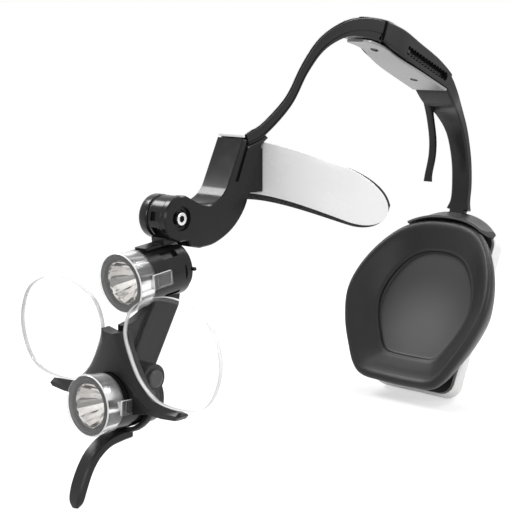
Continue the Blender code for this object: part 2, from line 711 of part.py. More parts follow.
def hinge_stem():
    """Barrel with two pockets, neck, and the flat saddle on the upper lamp."""
    barrel = [(AXLE_R + RUN, BARREL_X[0]), (BARREL_R - 0.4, BARREL_X[0]), (BARREL_R, BARREL_X[0] + 0.4),
              (BARREL_R, BARREL_X[1] - 0.4), (BARREL_R - 0.4, BARREL_X[1]), (AXLE_R + RUN, BARREL_X[1])]
    obj = add("hinge_stem", turned(barrel, along_x(HUB), 48), "gloss_black", "lamp_arm")
    place = lamp_box(UPPER_LAMP)
    half = SADDLE_W / 2
    neck = box((BARREL_X[0], 21.0, SADDLE_TOP - 0.4), (BARREL_X[1], 26.4, SADDLE_TOP + 2.6), place)
    tool(obj, neck, "UNION")
    saddle = box((-half, RING_LENGTH + 3.4, SADDLE_LOW), (half, 27.6, SADDLE_TOP), place)
    tool(obj, saddle, "UNION")
    for turn in (172.0, 214.0):
        tool(obj, box((BARREL_R - 1.3, -1.9, BARREL_X[0] + 1.1), (BARREL_R + 2, 1.9, BARREL_X[1] - 1.1),
                      pocket_place(turn)))


def pocket_place(turn):
    """Frame whose +X points out of the barrel at an angle round its axis, +Z along it."""
    spin = Matrix.Rotation(math.radians(turn), 4, "X")
    frame_axes = Matrix(((0, 0, 1, 0), (1, 0, 0, 0), (0, 1, 0, 0), (0, 0, 0, 1)))
    return Matrix.Translation((0.0, HUB.y, HUB.z)) @ spin @ frame_axes


# ---------------------------------------------------------------- arm and pivot

def arm_bar():
    """Deep bar from under the upper lamp to the lower pivot, with a thinner web in front."""
    eye = arc(PIVOT.yz, EYE_R, 322, 150, 18)
    top = [(14.6, 0.0), (28.6, 0.0)]
    place = lamp_box(UPPER_LAMP)
    corners = [(place @ Vector((0.0, y, -ARM_FOOT))).yz for y, _ in top]
    under = UPPER_LAMP[0].z - ARM_FOOT
    outline = [tuple(corners[0]), tuple(corners[1]), (31.0, under - 2.5)] + eye + [(6.4, -7.0)]
    obj = add("arm_bar", prism(outline, -ARM_W / 2, ARM_W / 2), "gloss_black", "lamp_arm")
    soften(obj, 0.5)
    web = [(20.0, under - 3.9), (18.0, under - 0.5)]
    web += [tuple(p) for p in spline([(14.6, under - 2.9), (9.4, under - 5.3), (3.4, under - 6.7)], 4)]
    web += [(3.4, -4.0), (6.6, -12.0), (12.0, -8.0)]
    tool(obj, prism(web, -WEB_W / 2, WEB_W / 2), "UNION")
    tool(obj, drill(PIN_R + RUN, -ARM_W, ARM_W, along_x(PIVOT)))


def pivot_pieces():
    """Screw and nut that hold the arm's eye, the lamp's cheeks and the lever's two ears."""
    place = along_x(PIVOT)
    ear = PIVOT_FACE + GAP + EAR_T
    screw = [(0.0, ear + 1.5), (3.0, ear + 1.5), (3.6, ear + 1.1), (3.6, ear + GAP), (PIN_R, ear + GAP),
             (PIN_R, -ear - 2.6), (0.0, -ear - 2.6)]
    add("pivot_screw", turned(screw, place, 32), "satin_steel", "loupe_head")
    nut_face = -ear - GAP
    nut = [(0.0, nut_face - GAP), (3.2, nut_face - GAP), (3.2, nut_face - 2.0), (0.0, nut_face - 2.0)]
    obj = add("pivot_nut", turned(nut, place, 6), "satin_steel", "loupe_head")
    tool(obj, drill(PIN_R + 0.2, nut_face - 5.0, nut_face + 1.0, place))


# ---------------------------------------------------------------- loupe head

LENS_KNOTS = [
    (6.3, 4.2), (10.0, 13.2), (19.2, 18.6), (31.0, 20.8), (42.8, 18.9), (52.3, 12.6),
    (56.7, 1.0), (54.6, -10.0), (48.2, -18.0), (36.8, -21.0), (23.6, -20.0), (14.4, -13.6),
    (8.7, -4.2),
]


def lens_outline(side, grow=0.0, per=3):
    """Lens edge in the XZ plane, grown outwards by a clearance."""
    points = spline(LENS_KNOTS, per, closed=True)
    slope = np.roll(points, -1, axis=0) - np.roll(points, 1, axis=0)
    slope /= np.linalg.norm(slope, axis=1)[:, None]
    points = points + grow * np.stack([-slope[:, 1], slope[:, 0]], axis=1)
    return points * np.array([side, 1.0])


def lens(name, side):
    """Clear rimless lens, flat in front of its rear face and gently domed in front."""
    edge = lens_outline(side)
    mid = edge.mean(axis=0)
    rings = []
    for share in (0.35, 0.65, 0.88, 1.0):
        y = LENS_FRONT - LENS_CROWN * (1 - share ** 2)
        rings.append([(x, y, z) for x, z in mid + (edge - mid) * share])
    rings.append([(x, LENS_FRONT + LENS_T, z) for x, z in edge])
    add(name, skin(rings), "clear", "loupe_head", smooth=30.0)


def lens_holder():
    """Column, a saddle over the lower lamp, and a thinner wing under each lens."""
    face = [(4.2, 3.6), (4.5, -1.6), (5.4, -4.4), (7.0, -8.0), (9.4, -11.6), (12.2, -15.8),
            (15.4, -19.6), (20.0, -22.4), (28.0, -23.4), (35.8, -22.9), (36.8, -23.5), (35.4, -24.7),
            (28.0, -25.4), (19.6, -25.2), (16.4, -26.2), (13.0, -27.0)]
    grown = [(6.4, 3.8), (7.6, -1.6), (8.8, -4.6), (11.0, -8.4), (13.4, -12.4), (15.8, -15.8),
             (18.4, -18.4), (21.6, -20.2), (28.0, -20.9), (36.0, -21.6), (37.0, -23.3), (35.6, -24.9),
             (28.0, -25.6), (19.8, -25.4), (16.6, -26.4), (13.0, -27.2)]
    rings = []
    back = [(x, z - 1.3 if x > 21.0 and z > -22.0 else z) for x, z in grown]
    for rows, y in ((face, HOLDER_FRONT), (grown, HOLDER_MID), (back, HOLDER_BACK)):
        outline = [(-1.8, 2.9), (1.8, 2.9)] + rows + [(-x, z) for x, z in rows[::-1]]
        rings.append([(x, y, z) for x, z in outline])
    obj = add("lens_holder", skin(rings), "gloss_black", "loupe_head")
    tool(obj, drill(LAMP_R + GAP, -5.0, 40.0, lamp_frame(LOWER_LAMP), 48))
    for side in (-1, 1):
        edge = [tuple(p) for p in lens_outline(side, GAP)]
        lens_back = LENS_FRONT + LENS_T + GAP
        tool(obj, prism(edge, HOLDER_FRONT - 2.0, lens_back, at=lambda x, z, y: (x, y, z)))
        low, high = sorted((side * (LAMP_R - 1), side * (LAMP_R + 1.2)))
        half = TAB_W / 2 + GAP
        reach = RING_LENGTH + TAB_REACH + GAP
        tool(obj, box((low, 5.0, -half), (high, reach, half), lamp_box(LOWER_LAMP)))


def lower_lamp():
    obj = lamp_body("lower_lamp_body", LOWER_LAMP, "loupe_head", LAMP_LENGTH)
    for side in (-1, 1):
        low, high = sorted((side * (ARM_W / 2 + 1.0), side * PIVOT_FACE))
        tool(obj, drill(EAR_R, low, high, along_x(PIVOT), 32), "UNION")
        low, high = sorted((side * PIVOT_FACE, side * 20.0))
        tool(obj, drill(EAR_R + GAP, low, high, along_x(PIVOT), 32))
    cheek = ARM_W / 2 + RUN
    tool(obj, box((-cheek, PIVOT.y - EYE_R - 0.6, PIVOT.z - EYE_R - 0.6), (cheek, 40.0, 10.0)))
    tool(obj, drill(PIN_R + 0.2, -20.0, 20.0, along_x(PIVOT)))
    lamp_cover("lower_lamp_cover", LOWER_LAMP, "loupe_head")
    lamp_light("lower", LOWER_LAMP, "loupe_head")


def handle():
    """Curved lever on a yoke: two ears at the pivot, and a strap under the lower lamp."""
    root = LOWER_LAMP[0].z - LAMP_R - 3.6
    drops = [(5.4, 0.0), (0.0, 0.3), (-6.4, 1.4), (-12.4, 5.0), (-16.6, 10.2), (-19.6, 16.4)]
    half = LEVER_W / 2
    stations = [(y, root - drop, half, 3.9) for y, drop in drops]
    stations += [(-21.1, root - 21.2, 0.85 * half, 3.6), (-21.7, root - 23.8, 0.4 * half, 2.0)]
    obj = add("handle", strap(stations, 3, 0.7), "gloss_black", "loupe_head")
    lamp = lamp_box(LOWER_LAMP)
    clear = LAMP_R + 1.4
    knots = [(-24.0, clear - 0.5, 9.9, 1.2), (-12.0, clear - 0.3, 9.4, 1.6), (12.0, clear, 7.8, 2.0),
             (35.0, clear, 6.4, 2.0), (60.0, clear, 5.2, 2.0), (90.0, clear, 4.4, 2.0)]
    knots += [(180.0 - turn, r, y, thick) for turn, r, y, thick in knots[-2::-1]]
    rings = []
    for turn, r, y, thick in spline(knots, 2):
        down = math.radians(turn)
        ring = []
        for dr, dy in ((0.5, 0.3), (0.5, -0.3), (0.3, -0.5), (-0.3, -0.5), (-0.5, -0.3), (-0.5, 0.3),
                       (-0.3, 0.5), (0.3, 0.5)):
            at = r + dr * thick
            along = y - LOWER_LAMP[0].y + dy * YOKE_W
            ring.append(lamp @ Vector((at * math.cos(down), along, -at * math.sin(down))))
        rings.append(ring)
    tool(obj, skin(rings), "UNION")
    for side in (-1, 1):
        low, high = sorted((side * (PIVOT_FACE + GAP), side * (PIVOT_FACE + GAP + EAR_T)))
        tool(obj, drill(EAR_R, low, high, along_x(PIVOT), 32), "UNION")
    tool(obj, drill(PIN_R + 0.2, -20.0, 20.0, along_x(PIVOT)))


# ---------------------------------------------------------------- rear band

def from_cup(y, z):
    """A point (y, z) given from the middle of the cup's rim."""
    return REAR.y + y, REAR.z + z


def rear_band():
    """Tongue in the crown box, head block, tapering band, and a free cable finger."""
    mid = CHANNEL_LOW + CHANNEL_H / 2
    half = CHANNEL_W / 2 - RUN
    thick = CHANNEL_H - 2 * RUN
    tongue = crown_block(half, (TONGUE_FRONT, BOX_REAR + 3.0), (mid - thick / 2, mid + thick / 2))
    start = crown(0, BOX_REAR + GAP, 165.4).yz
    knots = [(*start, 10.0, 8.2), (219.0, 84.4, 9.6, 7.0), (227.2, 77.2, 7.2, 5.6),
             (*from_cup(32.2, 82.4), 5.6, 4.9), (*from_cup(37.0, 68.0), 5.2, 4.6),
             (*from_cup(38.2, 55.0), 5.2, 4.5), (*from_cup(37.3, 46.4), 5.2, 4.5),
             (*from_cup(35.9, 41.6), 6.6, 4.5)]
    tenon = [(*from_cup(35.6, 41.2), FOOT_W, FOOT_T), (*from_cup(*FOOT_END), FOOT_W, FOOT_T)]
    obj = add("rear_band", strap(knots, 4, 0.9, ends=tenon, first=ALONG), "gloss_black", "rear_band")
    tool(obj, tongue, "UNION")
    finger = [(220.0, 82.6, 1.9, 4.4), (222.6, 74.0, 1.8, 3.0), (225.3, 63.0, 1.8, 3.0),
              (225.1, 54.0, 1.8, 3.0), (222.4, 45.4, 1.8, 3.0), (221.7, 41.2, 2.0, 3.4)]
    tool(obj, strap(finger, 3, 0.7, x_mid=-8.0), "UNION")
    # cross slot in the tongue that the catch sits in
    seat = (TONGUE_FRONT + 3.0 - GAP, TONGUE_FRONT + 5.2 + GAP)
    tool(obj, crown_block(BOX_W, seat, (mid - 1.0 - GAP, mid + 1.0 + GAP)))


def slide_catch():
    """Spring bar across the tongue's front; a nose on each side lies between the teeth."""
    mid = CHANNEL_LOW + CHANNEL_H / 2
    half = CHANNEL_W / 2 - RUN
    s = (TONGUE_FRONT - 0.4, TONGUE_FRONT + 5.2)
    bar = crown_block(half - 1.4, (s[0] + 3.4, s[1]), (mid - 1.0, mid + 1.0))
    obj = add("slide_catch", bar, "satin_steel", "rear_band")
    nose = crown_block(BOX_W / 2 - 0.5, (s[0] + 3.6, s[1] - 0.4), (mid - 0.7, mid + 0.7))
    tool(obj, nose, "UNION")


# ---------------------------------------------------------------- rear unit

REAR_PLACE = Matrix.Translation(REAR) @ Matrix.Rotation(-REAR_LEAN, 4, "X")


def rear(u, v, w):
    """A point of the rear unit: across, up its lean, and back from the cup's rim."""
    return REAR_PLACE @ Vector((u, w, v))


CUP_KNOTS = [(0.0, 44.6), (13.0, 43.2), (24.2, 37.8), (33.4, 27.2), (40.0, 13.0), (42.2, -2.0),
             (38.2, -18.0), (31.6, -31.6), (26.4, -39.8), (20.4, -43.8), (9.0, -44.6)]
CUP_MID = -0.6


def cup_outline(per=2):
    """The cup's outline: a full arch with a flat foot, the same on both sides."""
    left = [(-u, v) for u, v in CUP_KNOTS[:0:-1]]
    return spline(CUP_KNOTS + left, per, closed=True)


def cup_ring(share, w):
    """The outline shrunk by a share: its sides curl forward and its top leans back.

    Both are full at the rim and fade to nothing at the cup's flat back.
    """
    rows = np.array(cup_outline()) * share + (0.0, CUP_MID * (1.0 - share))
    fade = 1.0 - w / CUP_DEPTH
    wide, high = CUP_KNOTS[5][0], CUP_KNOTS[0][1]
    lean = CUP_TIP * (0.5 + 0.5 * rows[:, 1] / high) ** 2 - CUP_CURL * (rows[:, 0] / wide) ** 2
    return [rear(u, v, w + fade * shift) for (u, v), shift in zip(rows, lean)]


def rear_pad():
    """Soft cup: rounded rim, sloping wall, crisp step and a shallow floor."""
    profile = [(0.8, CUP_DEPTH), (0.87, 12.4), (0.965, 7.0), (1.0, 3.0), (0.985, 0.8), (0.955, 0.0),
               (0.92, 0.5), (0.79, 3.6), (0.675, 6.4), (0.64, 6.9), (0.62, CUP_FLOOR),
               (0.35, CUP_FLOOR + 0.5)]
    rings = [cup_ring(share, w) for share, w in profile]
    add("rear_pad", skin(rings), "soft_black", "rear_band", smooth=30.0)


def rear_shell():
    """Backing plate between the cup and the case, with a cowl over the top for the rear band."""
    low = CUP_DEPTH + GAP
    plate = skin([case_ring(1.0, low), case_ring(1.0, low + SHELL_T)])
    obj = add("rear_shell", plate, "shell_grey", "rear_band")
    ring = cup_outline(4)
    slope = np.roll(ring, -1, axis=0) - np.roll(ring, 1, axis=0)
    slope /= np.linalg.norm(slope, axis=1)[:, None]
    normal = np.stack([-slope[:, 1], slope[:, 0]], axis=1)
    top = [i for i in range(len(ring)) if ring[i][1] > 38.5]
    top.sort(key=lambda i: ring[i][0])
    rings = []
    for i in top:
        u = ring[i][0]
        lift = 2.4 + 5.2 * (1 - (u / 28.0) ** 2)
        inner, outer = ring[i], ring[i]
        section = [(0.6, 4.0), (1.7, 4.0), (0.55 * lift, 8.4), (0.92 * lift, 12.4), (lift, 15.0),
                   (lift - 0.6, low + SHELL_T), (-4.4, low + SHELL_T - 0.2), (-4.4, low + 0.3), (0.6, low - 0.3)]
        rings.append([rear(*(inner + normal[i] * out), w) for out, w in section])
    tool(obj, skin(rings), "UNION")
    hole = (FOOT_W + GAP, FOOT_T + 2 * GAP)
    socket = [(*from_cup(36.0, 43.4), *hole), (*from_cup(35.6, 41.2), *hole),
              (*from_cup(FOOT_END[0] - 0.1, FOOT_END[1] - 0.5), *hole)]
    tool(obj, strap(socket, 2, 0.7))


def case_outline(inset):
    """Battery case seen from behind: wider at its foot, with round corners."""
    top, foot = CASE_W[0] / 2 - inset, CASE_W[1] / 2 - inset
    r = 6.0
    points = arc((foot - r, CASE_FOOT + inset + r), r, 270, 360, 5)
    points += arc((top - r, CASE_TOP - inset - r), r, 0, 90, 5)
    return points + [(-u, v) for u, v in points[::-1]]


def case_ring(inset, w):
    return [rear(u, v, w) for u, v in case_outline(inset)]


def battery_case():
    """White case, open to the shell, with a domed back, a door bay and a switch slot."""
    steps = [(0.8, CASE_FRONT), (0.0, CASE_FRONT + 1.2), (0.0, 22.0), (1.2, 26.0), (3.8, 30.0),
             (7.0, CASE_BACK - 0.8), (9.4, CASE_BACK)]
    outer = skin([case_ring(inset, w) for inset, w in steps])
    obj = add("rear_housing", outer, "case_white", "rear_band")
    hollow = [(CASE_WALL + 0.8, CASE_FRONT - 2), (CASE_WALL, CASE_FRONT + 1.2), (CASE_WALL, 22.0),
              (CASE_WALL + 1.6, 26.0), (CASE_WALL + 4.4, 29.2)]
    tool(obj, skin([case_ring(inset, w) for inset, w in hollow]))
    half = DOOR_W / 2 + GAP
    under = CASE_BACK - DOOR_T - GAP
    tool(obj, box((-half, under, CASE_FOOT - 5), (half, CASE_BACK + 5, DOOR_TOP + GAP), REAR_PLACE))
    bay = 2 * CELL_R + 1.6
    tool(obj, box((-bay, 24.0, -CELL_LENGTH + 9.0), (bay, CASE_BACK + 5, 11.6), REAR_PLACE))
    slot = 3.0 + SWITCH_TRAVEL / 2
    tool(obj, box((-slot, 26.0, 24.0), (slot, CASE_BACK + 5, 28.0), REAR_PLACE))


def battery_pieces():
    low = CASE_FRONT + 1.0
    axis_w = low + CELL_R + 0.4
    foot = -CELL_LENGTH + 9.4
    for name, side in (("battery_left", 1), ("battery_right", -1)):
        u = side * (CELL_R + 0.4)
        end = foot + CELL_LENGTH
        profile = [(0.0, foot + 0.6), (CELL_R - 0.5, foot + 0.6), (CELL_R, foot + 1.1),
                   (CELL_R, end - 2.2), (CELL_R - 0.5, end - 1.7), (1.8, end - 1.7),
                   (1.8, end - 0.7), (0.0, end - 0.7)]
        place = REAR_PLACE @ Matrix.Translation((u, axis_w, 0.0))
        add(name, turned(profile, place, 24), "cell_wrap", "rear_band")
    width = 2 * CELL_R + 0.6
    plate = box((-width, low + 0.4, foot - 0.4), (width, low + 9.6, foot + 0.2), REAR_PLACE)
    add("contact_lower", plate, "satin_steel", "rear_band")
    high = foot + CELL_LENGTH - 0.4
    for name, side in (("contact_left", 1), ("contact_right", -1)):
        a, b = sorted((side * 0.8, side * width))
        plate = box((a, low + 0.4, high), (b, low + 9.6, high + 0.6), REAR_PLACE)
        add(name, plate, "satin_steel", "rear_band")
    board = box((-17.0, CASE_FRONT + GAP, 14.0), (17.0, CASE_FRONT + 1.9, 36.0), REAR_PLACE)
    add("circuit_board", board, "board_green", "rear_band")


def battery_door():
    """Sliding door let into the back of the case, with finger ribs at its foot."""
    outline = rounded(DOOR_W / 2, DOOR_FOOT, DOOR_TOP, 2.0, 4)
    door = prism(outline, CASE_BACK - DOOR_T, CASE_BACK, at=rear)
    obj = add("battery_door", door, "case_white", "battery_door")
    for i in range(5):
        v = -18.0 - 2.4 * i
        tool(obj, box((-7.0, CASE_BACK - 0.5, v - 0.5), (7.0, CASE_BACK + 2, v + 0.5), REAR_PLACE))


def power_switch():
    """Slide switch: a plate inside the case and a ribbed button through its slot."""
    base = box((-8.6, 27.0, 22.4), (8.6 - SWITCH_TRAVEL, 28.8, 29.6), REAR_PLACE)
    obj = add("power_switch", base, "satin_black", "power_switch")
    half = 3.0 - RUN
    mid = -SWITCH_TRAVEL / 2
    button = box((mid - half, 28.0, 24.0 + RUN), (mid + half, CASE_BACK + 1.2, 28.0 - RUN), REAR_PLACE)
    tool(obj, button, "UNION")
    for i in (-1, 0, 1):
        at = mid + 1.5 * i
        tool(obj, box((at - 0.35, CASE_BACK + 0.7, 20.0), (at + 0.35, CASE_BACK + 3, 32.0), REAR_PLACE))


# ---------------------------------------------------------------- build

def build():
    frame("headband", SEAT)
    frame("thumb_wheel", HUB)
    frame("lamp_arm", HUB)
    frame("loupe_head", PIVOT)
    frame("rear_band", crown(0.0, BOX_REAR, CHANNEL_LOW + CHANNEL_H / 2))
    frame("battery_door", rear(0.0, 0.0, CASE_BACK))
    frame("power_switch", rear(0.0, 26.0, CASE_BACK))
    front_bracket()
    front_band()
    band_trim()
    crown_box()
    crown_plate()
    hinge_pieces()
    forehead()
    upper_lamp()
    hinge_stem()
    arm_bar()
    pivot_pieces()
    lens("lens_left", 1)
    lens("lens_right", -1)
    lens_holder()
    lower_lamp()
    handle()
    rear_band()
    slide_catch()
    rear_pad()
    rear_shell()
    battery_case()
    battery_pieces()
    battery_door()
    power_switch()


build()
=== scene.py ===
import math

import bmesh
import bpy
import numpy as np
from mathutils import Matrix, Vector


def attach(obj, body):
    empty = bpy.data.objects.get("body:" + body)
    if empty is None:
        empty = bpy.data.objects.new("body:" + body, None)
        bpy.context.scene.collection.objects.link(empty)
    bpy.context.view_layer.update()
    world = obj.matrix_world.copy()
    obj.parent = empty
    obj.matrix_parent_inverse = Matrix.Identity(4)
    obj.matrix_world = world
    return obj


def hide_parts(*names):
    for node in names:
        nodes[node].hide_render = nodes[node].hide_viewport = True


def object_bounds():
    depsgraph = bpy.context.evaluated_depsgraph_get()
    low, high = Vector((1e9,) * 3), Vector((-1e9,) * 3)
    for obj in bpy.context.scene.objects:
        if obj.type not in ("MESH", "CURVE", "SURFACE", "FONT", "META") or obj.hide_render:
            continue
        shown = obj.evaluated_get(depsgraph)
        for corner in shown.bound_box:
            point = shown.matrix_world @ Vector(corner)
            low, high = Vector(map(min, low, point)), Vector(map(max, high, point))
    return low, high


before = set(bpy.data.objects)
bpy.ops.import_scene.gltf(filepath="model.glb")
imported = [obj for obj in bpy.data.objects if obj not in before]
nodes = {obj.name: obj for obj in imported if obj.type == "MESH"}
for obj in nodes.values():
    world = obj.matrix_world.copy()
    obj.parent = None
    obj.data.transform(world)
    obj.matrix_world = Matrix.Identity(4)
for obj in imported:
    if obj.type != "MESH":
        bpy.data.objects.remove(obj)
cadLow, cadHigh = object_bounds()
scene = bpy.context.scene
mm = 0.001
seat = np.array([0.0, 86.0, 60.0])   # the brow seat; shapes are in mm from the bridge between the lenses
pole = 0.05   # a closed shape ends on a ring this small, in mm or as a share, and a cap fills it


# camera, light and floor

view = {"place": (0.3527, -0.3970, 0.0550), "turn": 42.0, "rise": 10.0, "lens": 87.92, "sensor": 36.0}
lamps = {   # place, aim, width and height in metres, power in watts
    "keySoftbox": ((-0.78, -0.20, 0.90), (0.0, 0.0, 0.0), 0.40, 0.46, 9.5),
    "frontSoftbox": ((0.70, -1.00, 0.30), (0.0, 0.0, 0.0), 0.40, 0.40, 4.0),
    "sideSoftbox": ((1.00, 0.35, 0.45), (0.0, 0.05, 0.0), 0.20, 0.70, 3.5),
    "rearSoftbox": ((0.25, 0.95, 0.82), (0.0, 0.0, 0.0), 0.35, 0.50, 5.0),
    "topSoftbox": ((0.05, 0.25, 1.05), (0.0, 0.0, 0.0), 0.50, 0.50, 4.5),
}
stage = {   # light from all round, the floor's shade and glow, then its half side, depth and fade in metres
    "ambient": 0.55, "tint": 0.50, "glow": 0.56,
    "half": 12.0, "below": 0.0006, "fadeFrom": 0.28, "fadeOver": 0.42,
}


def makeCamera():
    data = bpy.data.cameras.new("camera")
    data.lens, data.sensor_width = view["lens"], view["sensor"]
    data.clip_start, data.clip_end = 0.01, 60.0
    camera = bpy.data.objects.new("camera", data)
    turn, rise = math.radians(view["turn"]), math.radians(view["rise"])
    back = Vector((math.sin(turn) * math.cos(rise), -math.cos(turn) * math.cos(rise), math.sin(rise)))
    camera.rotation_mode = "QUATERNION"
    camera.rotation_quaternion = (-back).to_track_quat("-Z", "Y")
    camera.location = view["place"]
    scene.collection.objects.link(camera)
    scene.camera = camera


def makeLamps():
    for name, (place, aim, width, height, power) in lamps.items():
        data = bpy.data.lights.new(name, "AREA")
        data.shape = "RECTANGLE"
        data.size, data.size_y, data.energy = width, height, power
        lamp = bpy.data.objects.new(name, data)
        lamp.location = place
        lamp.rotation_euler = (Vector(aim) - Vector(place)).to_track_quat("-Z", "Y").to_euler()
        scene.collection.objects.link(lamp)


# shader maths

class Wire:   # a socket whose operators add Math nodes; node() adds any other kind of node
    def __init__(self, tree, socket=None):
        self.tree, self.socket = tree, socket

    def node(self, kind, settings=None, sockets=None, out=0):
        made = self.tree.nodes.new(kind)
        for key, value in (settings or {}).items():
            setattr(made, key, value)
        for key, value in (sockets or {}).items():
            if isinstance(value, Wire):
                self.tree.links.new(value.socket, made.inputs[key])
            else:
                made.inputs[key].default_value = value
        return Wire(self.tree, made.outputs[out])

    def reckon(self, operation, *values):
        return self.node("ShaderNodeMath", {"operation": operation}, dict(enumerate(values)))

    def __add__(self, other):
        return self.reckon("ADD", self, other)

    def __sub__(self, other):
        return self.reckon("SUBTRACT", self, other)

    def __rsub__(self, other):
        return self.reckon("SUBTRACT", other, self)

    def __mul__(self, other):
        return self.reckon("MULTIPLY", self, other)

    def __pow__(self, other):
        return self.reckon("POWER", self, other)

    def over(self, level, width):   # 0 below the level, rising to 1 over the width
        return self.node("ShaderNodeMapRange", {"interpolation_type": "SMOOTHSTEP"},
                         {"Value": self, "From Min": level, "From Max": level + width})

    __radd__ = __add__
    __rmul__ = __mul__


def mixTint(share, low, high):
    return share.node("ShaderNodeMix", {"data_type": "RGBA"}, {"Factor": share, "A": low, "B": high}, out=2)


def noise(place, scale, detail=2.0, rough=0.5, stretch=None):
    if stretch:
        place = place.node("ShaderNodeMapping", None, {"Vector": place, "Scale": stretch})
    return place.node("ShaderNodeTexNoise", None,
                      {"Vector": place, "Scale": scale, "Detail": detail, "Roughness": rough})


def bump(height, distance):
    return height.node("ShaderNodeBump", None, {"Height": height, "Distance": distance})


def distanceFrom(place, point):   # metres from a point, on Object coordinates
    shifted = place.node("ShaderNodeMapping", None, {"Vector": place, "Location": [-part for part in point]})
    return shifted.node("ShaderNodeVectorMath", {"operation": "LENGTH"}, {0: shifted}, out="Value")


def grey(value, warm=0.0):
    return (value * (1.0 + warm), value, value * (1.0 - warm), 1.0)


# finishes

finishes = {}
plastics = {   # dark and pale shade, glossy and dull roughness, grain scale, grain depth in metres, specular
    "glossBlack": (grey(0.006), grey(0.009), 0.19, 0.26, 1500.0, 0.000004, 0.24),
    "bandBlack": (grey(0.006), grey(0.009), 0.22, 0.27, 1500.0, 0.000003, 0.26),
    "satinBlack": (grey(0.008), grey(0.012), 0.32, 0.42, 2600.0, 0.000008, 0.26),
    "shellGrey": (grey(0.014), grey(0.020), 0.36, 0.46, 2600.0, 0.00001, 0.5),
    # the slide catch's own dark plastic; on the hinge screw it is painted shade in the socket
    "catchDarkAndSocketShade": (grey(0.012), grey(0.020), 0.40, 0.50, 900.0, 0.000004, 0.5),
    "pinGrey": (grey(0.020), grey(0.030), 0.34, 0.44, 900.0, 0.000004, 0.5),
    "flangeGrey": (grey(0.020, 0.01), grey(0.030, 0.01), 0.40, 0.50, 900.0, 0.000004, 0.5),
    "caseWhite": (grey(0.78, 0.01), grey(0.84, 0.005), 0.30, 0.42, 2200.0, 0.00002, 0.5),
    "trimWhite": (grey(0.84, 0.005), grey(0.88), 0.24, 0.32, 1800.0, 0.00001, 0.5),
    "plateWhite": (grey(0.86), grey(0.90), 0.22, 0.30, 900.0, 0.000006, 0.5),
    "boardGreen": ((0.006, 0.055, 0.02, 1.0), (0.01, 0.09, 0.035, 1.0), 0.30, 0.45, 900.0, 0.00004, 0.5),
    "cellWrap": ((0.02, 0.026, 0.05, 1.0), (0.03, 0.04, 0.08, 1.0), 0.20, 0.30, 500.0, 0.00002, 0.5),
}
clearPlastics = {   # gloss on the face, its growth towards the edge and that growth's power, two shades
    "lensClear": (0.012, 0.10, 4.0, 0.80, 0.88),
    "coverClear": (0.02, 0.70, 3.0, 0.80, 0.88),
    "coverPane": (0.42, 0.30, 1.6, 0.14, 0.20),
    # the next three are painted light on clear plastic: grey painted shade near the lens rim, a white painted
    # highlight on edges, and grey painted shade lines beside that edge
    "lensRimPaintedShade": (0.16, 0.30, 1.5, 0.34, 0.42),
    "paintedEdgeHighlight": (0.86, 0.14, 1.0, 0.74, 0.86),
    "paintedEdgeShadeLine": (0.60, 0.25, 1.0, 0.42, 0.52),
}
# one chrome in three painted shades, standing for the streaks of reflection across the reflector's facets
mirrors = {"mirrorPaintedBright": 0.97, "mirrorPaintedMiddle": 0.80, "mirrorPaintedDark": 0.38}


def newFinish(name, **fixed):
    # a material with its Principled shader's even values set; returns the shader and the Object coordinates
    finish = bpy.data.materials.new(name)
    finish.use_nodes = True
    finishes[name] = finish
    shader = finish.node_tree.nodes["Principled BSDF"]
    for key, value in fixed.items():
        shader.inputs[key.replace("_", " ")].default_value = value
    return shader, Wire(finish.node_tree).node("ShaderNodeTexCoord", out="Object")


def feed(shader, **wires):
    for key, value in wires.items():
        value.tree.links.new(value.socket, shader.inputs[key.replace("_", " ")])


def makeMoulded(name):
    # moulded plastic: the fine grain of its tool, a slow change of shade, and dull patches from handling
    dark, pale, gloss, dull, grain, depth, specular = plastics[name]
    shader, place = newFinish(name, Specular_IOR_Level=specular)
    cloud = noise(place, 28.0, 3.0).over(0.35, 0.3)
    rub = noise(place, 95.0, 4.0, 0.62).over(0.42, 0.28)
    feed(shader, Base_Color=mixTint(cloud, dark, pale), Roughness=rub * (dull - gloss) + gloss,
         Normal=bump(noise(place, grain, 2.0, 0.6), depth))


def makeClear(name):
    # clear plastic with no bending of light: the gloss grows from the face towards the grazing edge; in the
    # lens's rim and edge finishes this opaque share is painted shade and painted highlight instead
    face, edge, power, dark, pale = clearPlastics[name]
    shader, place = newFinish(name, Specular_IOR_Level=0.6)
    wisp = noise(place, 90.0, 3.0, 0.6).over(0.45, 0.3)
    feed(shader, Base_Color=mixTint(wisp, grey(dark), grey(pale)), Roughness=wisp * 0.03 + 0.03)
    clear = place.node("ShaderNodeBsdfTransparent", None, {"Color": grey(0.985)})
    facing = place.node("ShaderNodeLayerWeight", None, {"Blend": 0.5}, out="Facing")
    gloss = Wire(place.tree, shader.outputs["BSDF"])
    both = place.node("ShaderNodeMixShader", None, {0: facing ** power * edge + face, 1: clear, 2: gloss})
    place.tree.links.new(both.socket, place.tree.nodes["Material Output"].inputs["Surface"])


def makeMirror(name):
    # plated reflector: one painted shade of reflection with a faint haze
    shade = mirrors[name]
    shader, place = newFinish(name, Metallic=1.0)
    haze = noise(place, 350.0, 3.0).over(0.4, 0.4)
    feed(shader, Base_Color=mixTint(haze, grey(shade * 0.88, 0.015), grey(shade, 0.025)),
         Roughness=haze * 0.06 + 0.04)


